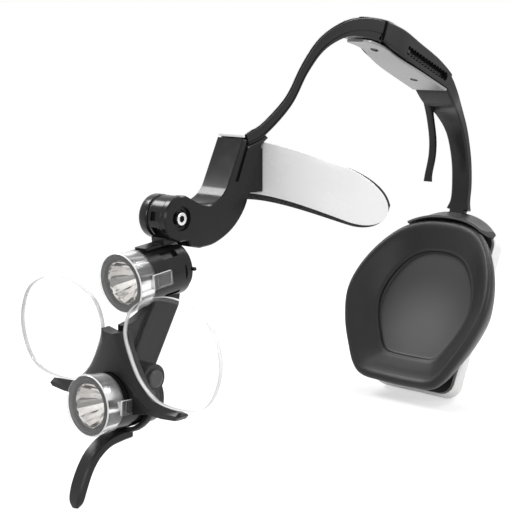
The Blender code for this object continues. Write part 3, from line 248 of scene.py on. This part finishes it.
def makeFinishes():
    for make, names in ((makeMoulded, plastics), (makeClear, clearPlastics), (makeMirror, mirrors)):
        for name in names:
            make(name)

    shader, place = newFinish("cupSkin", Sheen_Weight=0.03, Sheen_Roughness=0.5, Specular_IOR_Level=0.32)
    cloud = noise(place, 40.0, 4.0).over(0.3, 0.4)
    crease = place.node("ShaderNodeTexVoronoi", {"feature": "DISTANCE_TO_EDGE"},
                        {"Vector": place, "Scale": 1300.0}).over(0.0, 0.12)
    feed(shader, Base_Color=mixTint(cloud, grey(0.006), grey(0.009)), Roughness=0.44 - cloud * 0.05,
         Normal=bump(crease * 0.6 + noise(place, 700.0, 3.0) * 0.4, 0.00002))

    # the floor of the cup carries a painted highlight: pale at one spot and darkening away from it to the
    # skin's own dark shade
    shader, place = newFinish("cupFloorPaintedHighlight", Specular_IOR_Level=0.3)
    fromPaintedHighlight = distanceFrom(place, cup["paintedHighlightSpot"]).over(0.004, 0.034)
    fine = noise(place, 900.0, 3.0)
    feed(shader, Base_Color=mixTint(fromPaintedHighlight, grey(0.085), grey(0.010)), Roughness=fine * 0.06 + 0.46,
         Normal=bump(fine, 0.000015))

    shader, place = newFinish("padFoam", Specular_IOR_Level=0.25)
    pore = place.node("ShaderNodeTexVoronoi", None, {"Vector": place, "Scale": 1500.0}).over(0.15, 0.35)
    # the base colour is darker at the middle of each pore: painted shade in the pores
    feed(shader, Base_Color=mixTint(pore, grey(0.012), grey(0.04)), Roughness=0.95 - pore * 0.1,
         Normal=bump(pore, 0.00025))

    shader, place = newFinish("brushedPlate", Metallic=1.0)
    streak = noise(place, 260.0, 3.0, 0.7, (14.0, 1.0, 1.0))
    feed(shader, Base_Color=mixTint(streak, grey(0.27), grey(0.36)), Roughness=streak * 0.14 + 0.34,
         Normal=bump(streak, 0.000012))

    shader, place = newFinish("turnedSteel", Metallic=1.0)
    ring = noise(place, 900.0, 2.0)
    feed(shader, Base_Color=mixTint(ring, grey(0.62), grey(0.76)), Roughness=ring * 0.14 + 0.2,
         Normal=bump(ring, 0.00001))

    # the reflector's outside: chrome whose dark and white streaks are painted reflections
    shader, place = newFinish("skirtPaintedReflections", Metallic=1.0)
    streak = noise(place, 190.0, 2.0, 0.5, (1.0, 0.05, 1.0))
    feed(shader, Base_Color=mixTint(streak.over(0.40, 0.12), grey(0.10), grey(0.96)),
         Roughness=streak * 0.16 + 0.12)

    shader, place = newFinish("ledYellow", Emission_Strength=0.35, Coat_Weight=1.0)
    glow = noise(place, 500.0, 1.0)
    feed(shader, Base_Color=mixTint(glow, (0.80, 0.62, 0.10, 1.0), (0.92, 0.80, 0.35, 1.0)),
         Emission_Color=mixTint(glow, (0.85, 0.75, 0.35, 1.0), (1.0, 0.95, 0.7, 1.0)))


def plainLight(tree):
    # 1 for what the camera sees directly, in gloss or through glass; then the same with ambient for the rest
    path = tree.nodes.new("ShaderNodeLightPath")
    seen = [Wire(tree, path.outputs[k]) for k in ("Is Camera Ray", "Is Glossy Ray", "Is Transmission Ray")]
    shown = seen[0] + seen[1] + seen[2]
    shown = shown.reckon("MINIMUM", shown, 1.0)
    return shown, shown * (1.0 - stage["ambient"]) + stage["ambient"]


def makeSurround():
    world = bpy.data.worlds.new("studio")
    scene.world = world
    world.use_nodes = True
    strength = plainLight(world.node_tree)[1]
    back = world.node_tree.nodes["Background"]
    back.inputs["Color"].default_value = grey(1.0)
    world.node_tree.links.new(strength.socket, back.inputs["Strength"])

    half, low = stage["half"], cadLow.z - stage["below"]
    mesh = bpy.data.meshes.new("floor")
    mesh.from_pydata([(-half, -half, low), (half, -half, low), (half, half, low), (-half, half, low)], [],
                     [(0, 1, 2, 3)])
    floor = bpy.data.objects.new("floor", mesh)
    scene.collection.objects.link(floor)
    paper = bpy.data.materials.new("paleFloor")
    paper.use_nodes = True
    tree = paper.node_tree
    tree.nodes.clear()
    shown, strength = plainLight(tree)
    place = shown.node("ShaderNodeTexCoord", out="Object")
    reach = place.node("ShaderNodeVectorMath", {"operation": "LENGTH"}, {0: place}, out="Value")
    matt = place.node("ShaderNodeBsdfDiffuse", None, {"Color": grey(stage["tint"])})
    glow = place.node("ShaderNodeEmission", None, {"Strength": shown * stage["glow"]})
    near = place.node("ShaderNodeAddShader", None, {0: matt, 1: glow})
    far = place.node("ShaderNodeEmission", None, {"Strength": strength})
    fade = reach.over(stage["fadeFrom"], stage["fadeOver"])
    both = place.node("ShaderNodeMixShader", None, {0: fade, 1: near, 2: far})
    end = tree.nodes.new("ShaderNodeOutputMaterial")
    tree.links.new(both.socket, end.inputs["Surface"])
    mesh.materials.append(paper)


# shapes worked out on grids

def through(knots, per, closed=False):
    # between two knots the point is a cubic of the share of the way, so the line is smooth at each knot
    knots = np.asarray(knots, float)
    if closed:
        ends = np.vstack([knots[-1:], knots, knots[:2]])
    else:
        ends = np.vstack([2 * knots[0] - knots[1], knots, 2 * knots[-1] - knots[-2]])
    a, b, c, d = (ends[i:len(ends) - 3 + i, None, :] for i in range(4))
    t = np.linspace(0.0, 1.0, per, endpoint=False)[None, :, None]
    rows = 0.5 * (2 * b + (c - a) * t + (2 * a - 5 * b + 4 * c - d) * t ** 2
                  + (3 * b - a - 3 * c + d) * t ** 3)
    rows = rows.reshape(-1, knots.shape[1])
    return rows if closed else np.vstack([rows, knots[-1:]])


def eased(points, reach, steps, closed=False):
    # each corner becomes a parabola that leaves one side a reach before it and joins the next a reach after
    points = np.asarray(points, float)
    before, after = np.roll(points, 1, axis=0) - points, np.roll(points, -1, axis=0) - points
    lengths = [np.linalg.norm(side, axis=1, keepdims=True) for side in (before, after)]
    starts = points + before / lengths[0] * np.minimum(reach, 0.45 * lengths[0])
    stops = points + after / lengths[1] * np.minimum(reach, 0.45 * lengths[1])
    t = np.linspace(0.0, 1.0, steps)[None, :, None]
    rows = (1 - t) ** 2 * starts[:, None] + 2 * t * (1 - t) * points[:, None] + t ** 2 * stops[:, None]
    if closed:
        return rows.reshape(-1, points.shape[1])
    return np.vstack([points[:1], rows[1:-1].reshape(-1, points.shape[1]), points[-1:]])


def roundBox(wide, high, radius, steps=5):
    # half width and half height less the radius, plus a quarter turn of that radius at each corner
    corner = np.repeat(np.arange(4), steps)
    turns = np.radians(corner * 90 + np.tile(np.linspace(0, 90, steps), 4))
    signX, signY = np.array([1, -1, -1, 1])[corner], np.array([1, 1, -1, -1])[corner]
    return (signX * (wide - radius) + radius * np.cos(turns),
            signY * (high - radius) + radius * np.sin(turns))


def carried(path, across, out):
    # a section carried along a path of (y, z): across runs along x, and out along the path's normal
    slope = np.gradient(path, axis=0)
    slope /= np.linalg.norm(slope, axis=1, keepdims=True)
    y, z = path[:, :1] - out * slope[:, 1:], path[:, 1:] + out * slope[:, :1]
    return np.stack([np.broadcast_to(across, y.shape), y, z], axis=-1)


def fullTurn(steps):
    return np.linspace(0.0, 2 * np.pi, steps, endpoint=False)


def turned(profile, steps):
    # (radius, along) carried round the axis: across = radius times the turn's cosine and sine
    profile, turns = np.asarray(profile, float), fullTurn(steps)
    return np.stack([profile[:, :1] * np.cos(turns), profile[:, :1] * np.sin(turns),
                     np.repeat(profile[:, 1:], steps, axis=1)], axis=-1)


def moved(grid, place):
    matrix = np.array(place)
    return grid @ matrix[:3, :3].T + matrix[:3, 3]


def surface(name, grid, kinds, body, bands=None, loop=False, crease=35.0):
    # rows of a grid joined by quads and closed round each row; the end rows are capped, or joined in a loop;
    # bands gives each row of quads, or each quad, its number in the list of kinds of finish
    rows, columns = grid.shape[:2]
    index = np.arange(rows * columns).reshape(rows, columns)
    low, high = (index, np.roll(index, -1, axis=0)) if loop else (index[:-1], index[1:])
    quads = np.stack([low, np.roll(low, -1, axis=1), np.roll(high, -1, axis=1), high], axis=-1)
    bands = np.zeros(len(low), int) if bands is None else np.asarray(bands)
    if bands.ndim == 1:
        bands = np.repeat(bands[:, None], columns, axis=1)
    faces, numbers = quads.reshape(-1, 4).tolist(), bands.reshape(-1)
    if not loop:
        faces += [index[0, ::-1].tolist(), index[-1].tolist()]
        numbers = np.append(numbers, [bands[0, 0], bands[-1, 0]])
    mesh = bpy.data.meshes.new(name)
    mesh.from_pydata(((grid.reshape(-1, 3) - seat) * mm).tolist(), [], faces)
    mesh.polygons.foreach_set("material_index", numbers.astype(np.int32))
    for kind in kinds:
        mesh.materials.append(finishes[kind])
    return settle(name, mesh, body, crease)


def settle(name, mesh, body, crease):
    # faces turned outwards, smooth except at creases, then the piece rides on its body
    work = bmesh.new()
    work.from_mesh(mesh)
    bmesh.ops.recalc_face_normals(work, faces=work.faces)
    if work.calc_volume(signed=True) < 0.0:
        bmesh.ops.reverse_faces(work, faces=work.faces)
    work.to_mesh(mesh)
    work.free()
    mesh.shade_smooth()
    mesh.set_sharp_from_angle(angle=math.radians(crease))
    piece = bpy.data.objects.new(name, mesh)
    scene.collection.objects.link(piece)
    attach(piece, body)
    return piece


def standFor(node):
    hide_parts(node)


# soft cup at the back of the head

cup = {
    "rim": (0.0, 203.0, -16.0), "lean": math.atan(0.5), "depth": 15.0, "curl": 6.0, "tip": 5.5,
    "middle": -0.6, "wide": 42.2, "high": 44.6,
    "outline": [(0.0, 44.6), (13.0, 43.2), (24.2, 37.8), (33.4, 27.2), (40.0, 13.0), (42.2, -2.0),
                (38.2, -18.0), (31.6, -31.6), (26.4, -39.8), (20.4, -43.8), (9.0, -44.6)],
    "profile": [(0.05, 14.9), (0.5, 14.95), (0.78, 15.0), (0.84, 14.3), (0.895, 11.0), (0.965, 7.0),
                (0.998, 3.4), (0.99, 1.2), (0.96, 0.1), (0.915, 0.25), (0.86, 1.5), (0.79, 3.5),
                (0.72, 5.3), (0.675, 6.35), (0.652, 6.6), (0.640, 6.9), (0.634, 7.7), (0.622, 8.3),
                (0.59, 8.55), (0.42, 8.3), (0.2, 8.1), (0.02, 8.05)],   # share of the outline, steps back
    "perKnot": 10, "perRow": 4, "floorFrom": 17, "paintedHighlightSpot": (0.003, 0.1166, -0.0947), "fill": 0.9,
}


def makeCup():
    # the outline shrinks by a share and steps back by w; the rim's sides curl forward with the square of
    # their distance from the middle and its top leans back, both fading to nothing at the flat back
    left = [(-u, v) for u, v in cup["outline"][:0:-1]]
    outline = through(cup["outline"] + left, cup["perKnot"], closed=True)
    share, w = (part[:, None] for part in through(cup["profile"], cup["perRow"]).T)
    u = outline[:, 0] * share
    v = outline[:, 1] * share + cup["middle"] * (1.0 - share)
    fade = 1.0 - np.clip(w / cup["depth"], 0.0, 1.0)
    tip, curl = cup["tip"] * (0.5 + 0.5 * v / cup["high"]) ** 2, cup["curl"] * (u / cup["wide"]) ** 2
    w = w + fade * (tip - curl)
    s, c = math.sin(cup["lean"]), math.cos(cup["lean"])
    grid = np.array(cup["rim"]) + np.stack([u, v * s + w * c, v * c - w * s], axis=-1)
    # the floor's rows take the skin with the painted highlight
    onFloor = np.arange(len(grid) - 1) >= cup["floorFrom"] * cup["perRow"]
    piece = surface("rear_pad_skin", grid, ["cupSkin", "cupFloorPaintedHighlight"], "rear_band", onFloor.astype(int),
                    crease=80.0)
    standFor("rear_pad")


# forehead plate and its foam

brow = {
    "radius": 58.0, "front": 78.7, "middle": 60.1, "droop": 155.0, "tipFrom": 0.7, "round": 0.985,
    "stations": 97, "across": 9, "fill": 0.9,
    "plate": {"inset": 0.0, "thick": 1.5, "height": 22.2, "sweep": 59.8, "drop": 0.0, "edge": 0.35},
    "foam": {"inset": 1.8, "thick": 5.5, "height": 23.6, "sweep": 61.4, "drop": 2.4, "edge": 1.6},
}


def browGrid(layer):
    # a rounded rectangle carried round the brow's circle; its middle line droops with the square of x, and
    # its height falls as a half oval towards each tip
    radius, sweep, thick = brow["radius"] - layer["inset"], math.radians(layer["sweep"]), layer["thick"]
    share = np.linspace(-1.0, 1.0, brow["stations"])[:, None]
    turn = sweep * np.sin(0.5 * np.pi * brow["round"] * share)
    past = np.maximum(0.0, (np.abs(turn) / sweep - brow["tipFrom"]) / (1.0 - brow["tipFrom"]))
    half = layer["height"] / 2 * np.sqrt(1.0 - past ** 2)
    x = radius * np.sin(turn)
    mid = brow["middle"] - x ** 2 / brow["droop"] - layer["drop"] * (1.0 - 1.4 * share ** 2)
    edge, steps = np.minimum(layer["edge"], 0.9 * half), 5
    up, deep = roundBox(half, thick / 2, edge, steps)
    # more points between the corners, across the inner and the outer face
    flat = (half - edge) * np.linspace(-1.0, 1.0, brow["across"])[1:-1]
    up = np.hstack([up[:, :steps], flat[:, ::-1], up[:, steps:3 * steps], flat, up[:, 3 * steps:]])
    deep = np.hstack([deep[:, :steps], np.full_like(flat, thick / 2), deep[:, steps:3 * steps],
                      np.full_like(flat, -thick / 2), deep[:, 3 * steps:]])
    reach = radius - (thick / 2 + deep)
    y = brow["front"] + brow["radius"] - reach * np.cos(turn)
    return np.stack([reach * np.sin(turn), y, mid + up], axis=-1)


def makeBrow():
    plate = surface("forehead_plate_skin", browGrid(brow["plate"]), ["plateWhite"], "headband")
    standFor("forehead_plate")
    foam = surface("forehead_pad_skin", browGrid(brow["foam"]), ["padFoam"], "headband", crease=80.0)
    standFor("forehead_pad")


# lenses

lens = {
    "outline": [(6.3, 4.2), (10.0, 13.2), (19.2, 18.6), (31.0, 20.8), (42.8, 18.9), (52.3, 12.6),
                (56.7, 1.0), (54.6, -10.0), (48.2, -18.0), (36.8, -21.0), (23.6, -20.0), (14.4, -13.6),
                (8.7, -4.2)],
    "front": -1.6, "thick": 2.2, "crown": 1.4, "perKnot": 14,
    "shares": [0.03, 0.2, 0.4, 0.6, 0.8, 0.93, 0.98], "edgeShare": 0.995, "edgeStep": 0.05, "paintedEdgeShadeLine": 0.5,
}


def makeLens(name, side):
    # rows of the outline shrunk towards its middle; the front is domed by one less the share squared
    outline = through(lens["outline"], lens["perKnot"], closed=True) * (side, 1.0)
    mid = outline.mean(axis=0)
    front, back, shares = lens["front"], lens["front"] + lens["thick"], lens["shares"]
    almost, step, line = lens["edgeShare"], lens["edgeStep"], lens["paintedEdgeShadeLine"]
    rows = [(k, front - lens["crown"] * (1 - k * k)) for k in shares]
    rows += [(almost, front + step), (1.0, front + line), (1.0, back - line), (almost, back - step)]
    rows += [(k, back) for k in shares[::-1]]
    share, y = (part[:, None] for part in np.array(rows).T)
    flat = mid + (outline - mid) * share[..., None]
    grid = np.stack([flat[..., 0], np.broadcast_to(y, flat.shape[:2]), flat[..., 1]], axis=-1)
    kinds = ["lensClear", "paintedEdgeHighlight", "paintedEdgeShadeLine", "lensRimPaintedShade"]
    bands = [0] * 5 + [3, 0, 2, 1, 2] + [0] * 7   # the front, a band of painted shade near its rim, the edge's chamfers as painted shade lines either side of the edge's painted highlight, the back
    piece = surface(name + "_dome", grid, kinds, "loupe_head", bands)
    standFor(name)


# lamps: a clear cover with two tabs, and a reflector with radial facets

lampHeads = {   # the middle of the cover's front, its tilt and the body it rides on
    "upper": ((0.0, 2.5, 21.2), math.radians(5.9), "lamp_arm"),
    "lower": ((0.0, -15.3, -23.4), math.radians(-3.0), "loupe_head"),
}
lampHead = {   # along the lamp, 0 is the front of the cover
    "turns": 144, "rim": 11.5, "length": 9.2, "wall": 0.55, "mouthRim": 12.15, "mouthRound": (0.7, 0.9),
    "taperAt": 5.4, "flare": 0.1, "pane": 0.7, "lipWide": 0.5, "lipDeep": 1.0,
    "facets": 18, "shades": [0, 1, 0, 2, 0, 1, 1, 0, 2, 1, 0, 0, 1, 0, 2, 0, 1, 0], "bowlRows": 14,
    "mouth": 8.9, "mouthAt": 2.5, "hole": 2.9, "bottomAt": 14.1, "bowlWall": 0.7, "bore": 9.6,
    "flangeIn": 9.35, "flangeAt": 0.85, "skirt": 10.95,
    "tabHalf": 2.9, "tabFrom": 7.6, "tabReach": 17.4, "tabThick": 1.0, "tabInner": 10.85,
    "windowHalf": 2.3, "windowFrom": 9.8, "windowTo": 16.8, "windowDeep": 0.35,
}


def makeCover(tag, place, body):
    # a cup turned round the lamp: straight at its end, then flared to the mouth and closed by a pane
    rim, length, wall = lampHead["rim"], lampHead["length"], lampHead["wall"]
    wide, flared, taper = lampHead["mouthRim"], lampHead["rim"] + lampHead["flare"], lampHead["taperAt"]
    roundIn, roundAlong = lampHead["mouthRound"]
    outside = eased([(pole, 0.0), (wide - roundIn, 0.0), (wide, roundAlong), (flared, taper), (rim, length),
                     (rim - wall, length)], 0.5, 5)
    inside = eased([(rim - wall, length - 0.05), (flared - wall, taper),
                    (wide - wall, lampHead["pane"] + 0.05), (pole, lampHead["pane"])], 0.3, 4)
    shell = np.vstack([outside, inside])
    # the lip round the mouth's rim takes the white painted highlight
    near = shell[:, 0] > wide - lampHead["lipWide"]
    lip = near[:-1] & near[1:] & (shell[1:, 1] < lampHead["lipDeep"])
    cover = surface(tag + "_cover_shell", moved(turned(shell, lampHead["turns"]), place),
                    ["coverClear", "paintedEdgeHighlight"], body, lip.astype(int), crease=50.0)
    standFor(tag + "_lamp_cover")


def makeTab(tag, word, side, place, body):
    # a plate with a raised frame: the outline shrunk towards its middle, row by row, at a height for each row
    half, near, far = lampHead["tabHalf"], lampHead["tabFrom"], lampHead["tabReach"]
    outer = eased([(near, -half), (far, -half), (far, half), (near, half)], 0.5, 6, closed=True)
    half, near, far = lampHead["windowHalf"], lampHead["windowFrom"], lampHead["windowTo"]
    inner = eased([(near, -half), (far, -half), (far, half), (near, half)], 0.4, 6, closed=True)
    mid = inner.mean(axis=0)
    low = lampHead["tabInner"]
    high = low + lampHead["tabThick"]
    sunk = high - lampHead["windowDeep"]
    rows = [(mid + (outer - mid) * 0.02, low), (outer, low), (outer, high - 0.12),
            (mid + (outer - mid) * 0.985, high), (inner, high), (inner, sunk),
            (mid + (inner - mid) * 0.02, sunk)]
    grid = np.stack([np.stack([np.full(len(flat), side * x), flat[:, 1], flat[:, 0]], axis=-1)
                     for flat, x in rows])
    # the frame's outer side, its rounded top edge and the window's walls take the white painted highlight
    piece = surface(tag + "_cover_tab_" + word, moved(grid, place), ["coverPane", "paintedEdgeHighlight"], body,
                    [0, 1, 1, 0, 1, 0], crease=30.0)


def makeReflector(tag, place, body):
    # the bowl's depth grows with one less the square of its radius, and each of its facets is flat across
    mouth, hole, bore = lampHead["mouth"], lampHead["hole"], lampHead["bore"]
    start, bottom = lampHead["mouthAt"], lampHead["bottomAt"]
    flangeIn, flangeAt, skirt = lampHead["flangeIn"], lampHead["flangeAt"], lampHead["skirt"]
    share = np.linspace(0.0, 1.0, lampHead["bowlRows"])
    bowl = np.stack([hole + (mouth - hole) * np.sqrt(1.0 - share), start + (bottom - start) * share], axis=1)
    bowl = bowl[::-1]
    brim, end = lampHead["mouthRim"] - lampHead["wall"] - 0.1, lampHead["length"] - 0.2
    flange = [(mouth + 0.06, start - 0.15), (flangeIn - 0.1, flangeAt + 0.15), (flangeIn + 0.1, flangeAt),
              (brim - 0.1, flangeAt), (brim, flangeAt + 0.1)]
    back = [(skirt, lampHead["taperAt"]), (skirt - 0.1, end), (bore - 0.3, end)]
    outer = [(min(r + lampHead["bowlWall"], bore - 0.4), a) for r, a in bowl[::-1]
             if a > lampHead["length"] + 0.5]
    profile = np.vstack([bowl, flange, back, outer])
    grid = turned(profile, lampHead["turns"])
    turns, step = fullTurn(lampHead["turns"]), 2 * np.pi / lampHead["facets"]
    faceted, plain = len(bowl) - 1, len(flange)
    grid[:faceted, :, :2] *= (np.cos(step / 2) / np.cos(np.mod(turns, step) - step / 2))[None, :, None]
    bands = np.repeat([0] * faceted + [3] * plain + [4] * (len(profile) - faceted - plain), lampHead["turns"])
    bands = bands.reshape(len(profile), -1)
    # facet by facet, the bowl takes one of the three painted reflection shades of one chrome
    bands[:faceted] = np.array(lampHead["shades"])[(turns / step + 0.001).astype(int)]
    kinds = ["mirrorPaintedBright", "mirrorPaintedMiddle", "mirrorPaintedDark", "flangeGrey", "skirtPaintedReflections"]
    piece = surface(tag + "_reflector_bowl", moved(grid, place), kinds, body, bands, loop=True, crease=9.0)
    standFor(tag + "_reflector")


def makeLampHead(tag):
    point, tilt, body = lampHeads[tag]
    place = Matrix.Translation(point) @ Matrix.Rotation(tilt, 4, "X") @ Matrix.Rotation(-math.pi / 2, 4, "X")
    makeCover(tag, place, body)
    makeTab(tag, "right", -1, place, body)
    makeTab(tag, "left", 1, place, body)
    makeReflector(tag, place, body)


# hinge screw with a hexagon socket; along the screw, 0 is the middle of the headband

hinge = {
    "centre": (0.0, 29.3, 44.2), "head": 2.6, "face": 7.7, "underHead": 5.9, "shank": 1.55, "end": -7.0,
    "socket": 1.25, "socketDeep": 1.3, "chamfer": 0.12, "turns": 96,
}


def makeHingeScrew():
    # a turned head; the socket's radius is its flat divided by the cosine of the turn from that flat's middle
    head, face, flat = hinge["head"], hinge["face"], hinge["socket"]
    deep, chamfer, shank = face - hinge["socketDeep"], hinge["chamfer"], hinge["shank"]
    rows = [(pole, deep), (flat, deep), (flat, face - chamfer), (flat + chamfer, face), (head - 0.35, face),
            (head - 0.1, face - 0.1), (head, face - 0.4), (head, hinge["underHead"]),
            (shank, hinge["underHead"] - 0.1), (shank, hinge["end"]), (pole, hinge["end"])]
    grid = turned(rows, hinge["turns"])
    turns = fullTurn(hinge["turns"])
    grid[1:4, :, :2] *= (1.0 / np.cos(np.mod(turns, np.pi / 3) - np.pi / 6))[None, :, None]
    place = Matrix.Translation(hinge["centre"]) @ Matrix.Rotation(math.pi / 2, 4, "Y")
    # the socket's floor and walls take the dark finish as painted shade
    piece = surface("hinge_screw_head", moved(grid, place), ["turnedSteel", "catchDarkAndSocketShade"], "headband",
                    [1, 1] + [0] * (len(rows) - 3))
    standFor("hinge_screw")


# front band with a shallow groove along each side

band = {
    "knots": [(67.8, 72.9, 4.9), (78.1, 76.4, 5.0), (93.9, 87.4, 5.0), (104.7, 100.9, 5.2),
              (116.4, 111.2, 5.9), (132.0, 117.4, 6.8), (146.0, 118.5, 8.8), (158.0, 117.1, 9.8),
              (160.4, 116.05, 9.8)],   # y, z, thickness
    "half": 7.5, "per": 14, "edge": 0.6,
    "groove": 0.35, "grooveAt": -1.25, "grooveHalf": 0.3, "grooveSlope": 0.12,
}


def makeFrontBand():
    # half of a section, repeated mirrored, is carried along a smooth path in the YZ plane
    rows = through(band["knots"], band["per"])
    half, thick, turns = band["half"], rows[:, 2:] / 2, np.radians(np.linspace(90.0, 0.0, 5))
    edge, inner, at = band["edge"], band["half"] - band["groove"], band["grooveAt"]
    wide, narrow = band["grooveHalf"], band["grooveHalf"] - band["grooveSlope"]
    across = np.hstack([half - edge + edge * np.cos(turns), [half, inner, inner, half],
                        half - edge + edge * np.cos(turns[::-1])])
    groove = np.tile([at + wide, at + narrow, at - narrow, at - wide], (len(rows), 1))
    out = np.hstack([thick - edge + edge * np.sin(turns), groove, -thick + edge - edge * np.sin(turns[::-1])])
    grid = carried(rows[:, :2], np.hstack([across, -across[::-1]]), np.hstack([out, out[:, ::-1]]))
    piece = surface("front_band_sweep", grid, ["bandBlack"], "headband", crease=40.0)
    standFor("front_band")


# pale trim over the band and the crown box

trim = {
    "half": 7.1, "thick": 1.0, "edge": 0.3, "lift": 0.8, "perBand": 3, "per": 8, "clear": 3.0,
    "front": [(66.05, 73.9), (66.2, 75.2)], "fall": math.radians(22.0),
    "top": [(105.9, 174.5), (116.5, 174.8), (130.0, 174.1), (146.0, 173.3), (156.0, 171.8),
            (160.4, 170.9)],
}


def makeTrim():
    # the path runs up the band's front end, along its outer face at half its thickness plus the lift, then
    # over the box, whose points are (along its fall, out from the head)
    rows = through(band["knots"][:-2], trim["perBand"])
    lift = rows[:, 2:] / 2 + trim["lift"]
    over = carried(rows[:, :2], 0.0, lift)[:, 0, 1:]
    c, s = math.cos(trim["fall"]), math.sin(trim["fall"])
    box = np.array(trim["top"]) @ np.array([[c, -s], [s, c]])
    over = over[over[:, 0] < box[0, 0] - trim["clear"]]
    path = through(np.vstack([trim["front"], over[1:], box]), trim["per"])
    grid = carried(path, *roundBox(trim["half"], trim["thick"] / 2, trim["edge"]))
    piece = surface("band_trim_strip", grid, ["trimWhite"], "headband", crease=50.0)
    standFor("band_trim")


# solids that stay: welded, smooth between creases, and some with rounded edges

kept = {
    "glossBlack": ["front_bracket", "hinge_stem", "upper_lamp_body", "upper_lamp_cap", "arm_bar",
                   "lower_lamp_body", "thumb_wheel"],
    "bandBlack": ["rear_band"],
    "satinBlack": ["handle", "lens_holder", "crown_box", "crown_screw_front", "crown_screw_rear",
                   "power_switch", "hinge_washer"],
    "shellGrey": ["rear_shell"],
    "caseWhite": ["rear_housing", "battery_door"],
    "brushedPlate": ["crown_plate", "upper_led_board", "lower_led_board"],
    "pinGrey": ["pivot_screw", "pivot_nut"],
    "catchDarkAndSocketShade": ["slide_catch"],
    "turnedSteel": ["forehead_screw_upper", "forehead_screw_lower", "contact_lower", "contact_left",
                    "contact_right"],
    "ledYellow": ["upper_led", "lower_led"],
    "boardGreen": ["circuit_board"],
    "cellWrap": ["battery_left", "battery_right"],
}
edgeWidths = {   # in mm
    "front_bracket": 0.3, "hinge_stem": 0.2, "upper_lamp_body": 0.2, "arm_bar": 0.2, "lens_holder": 0.25,
    "lower_lamp_body": 0.2, "handle": 0.2, "thumb_wheel": 0.2, "rear_band": 0.2, "crown_box": 0.25,
    "rear_housing": 0.25, "battery_door": 0.2, "rear_shell": 0.25,
}
smoothing = {"weld": 0.00001, "crease": 32.0, "flat": 0.5, "bevelFrom": 34.0, "segments": 2}


def smoothGroup():
    group = bpy.data.node_groups.new("smoothBetweenCreases", "GeometryNodeTree")
    for way in ("INPUT", "OUTPUT"):
        group.interface.new_socket("Geometry", in_out=way, socket_type="NodeSocketGeometry")
    chain = ["NodeGroupInput", "GeometryNodeMergeByDistance", "GeometryNodeRemoveAttribute",
             "GeometryNodeSetShadeSmooth", "GeometryNodeStoreNamedAttribute", "NodeGroupOutput"]
    start, weld, strip, shade, store, end = steps = [group.nodes.new(kind) for kind in chain]
    for one, two in zip(steps, steps[1:]):
        group.links.new(one.outputs[0], two.inputs[0])
    weld.inputs["Distance"].default_value = smoothing["weld"]
    strip.inputs["Name"].default_value = "custom_normal"
    store.data_type, store.domain = "BOOLEAN", "EDGE"
    store.inputs["Name"].default_value = "sharp_edge"
    angle = group.nodes.new("GeometryNodeInputMeshEdgeAngle")
    compare = group.nodes.new("FunctionNodeCompare")
    compare.data_type, compare.operation = "FLOAT", "GREATER_THAN"
    compare.inputs[1].default_value = math.radians(smoothing["crease"])
    group.links.new(angle.outputs[0], compare.inputs[0])
    group.links.new(compare.outputs[0], store.inputs["Value"])
    return group


def roundEdges(node, width):
    join = node.modifiers.new("flats", "DECIMATE")
    join.decimate_type, join.angle_limit = "DISSOLVE", math.radians(smoothing["flat"])
    edge = node.modifiers.new("edges", "BEVEL")
    edge.width, edge.segments = width * mm, smoothing["segments"]
    edge.limit_method, edge.angle_limit = "ANGLE", math.radians(smoothing["bevelFrom"])
    edge.harden_normals = True


def keepNodes():
    group = smoothGroup()
    for finish, names in kept.items():
        for name in names:
            node = nodes[name]
            node.data.materials.clear()
            node.data.materials.append(finishes[finish])
            node.modifiers.new("smooth", "NODES").node_group = group
            if name in edgeWidths:
                roundEdges(node, edgeWidths[name])


makeCamera()
makeLamps()
makeFinishes()
makeSurround()
keepNodes()
print("kept pieces finished")
makeCup()
makeBrow()
print("soft pieces made")
makeLens("lens_left", 1)
makeLens("lens_right", -1)
makeLampHead("upper")
makeLampHead("lower")
print("lenses and lamps made")
makeHingeScrew()
makeFrontBand()
makeTrim()
print("hinge and band made")
scene.view_settings.view_transform = "Standard"
print("stage done")
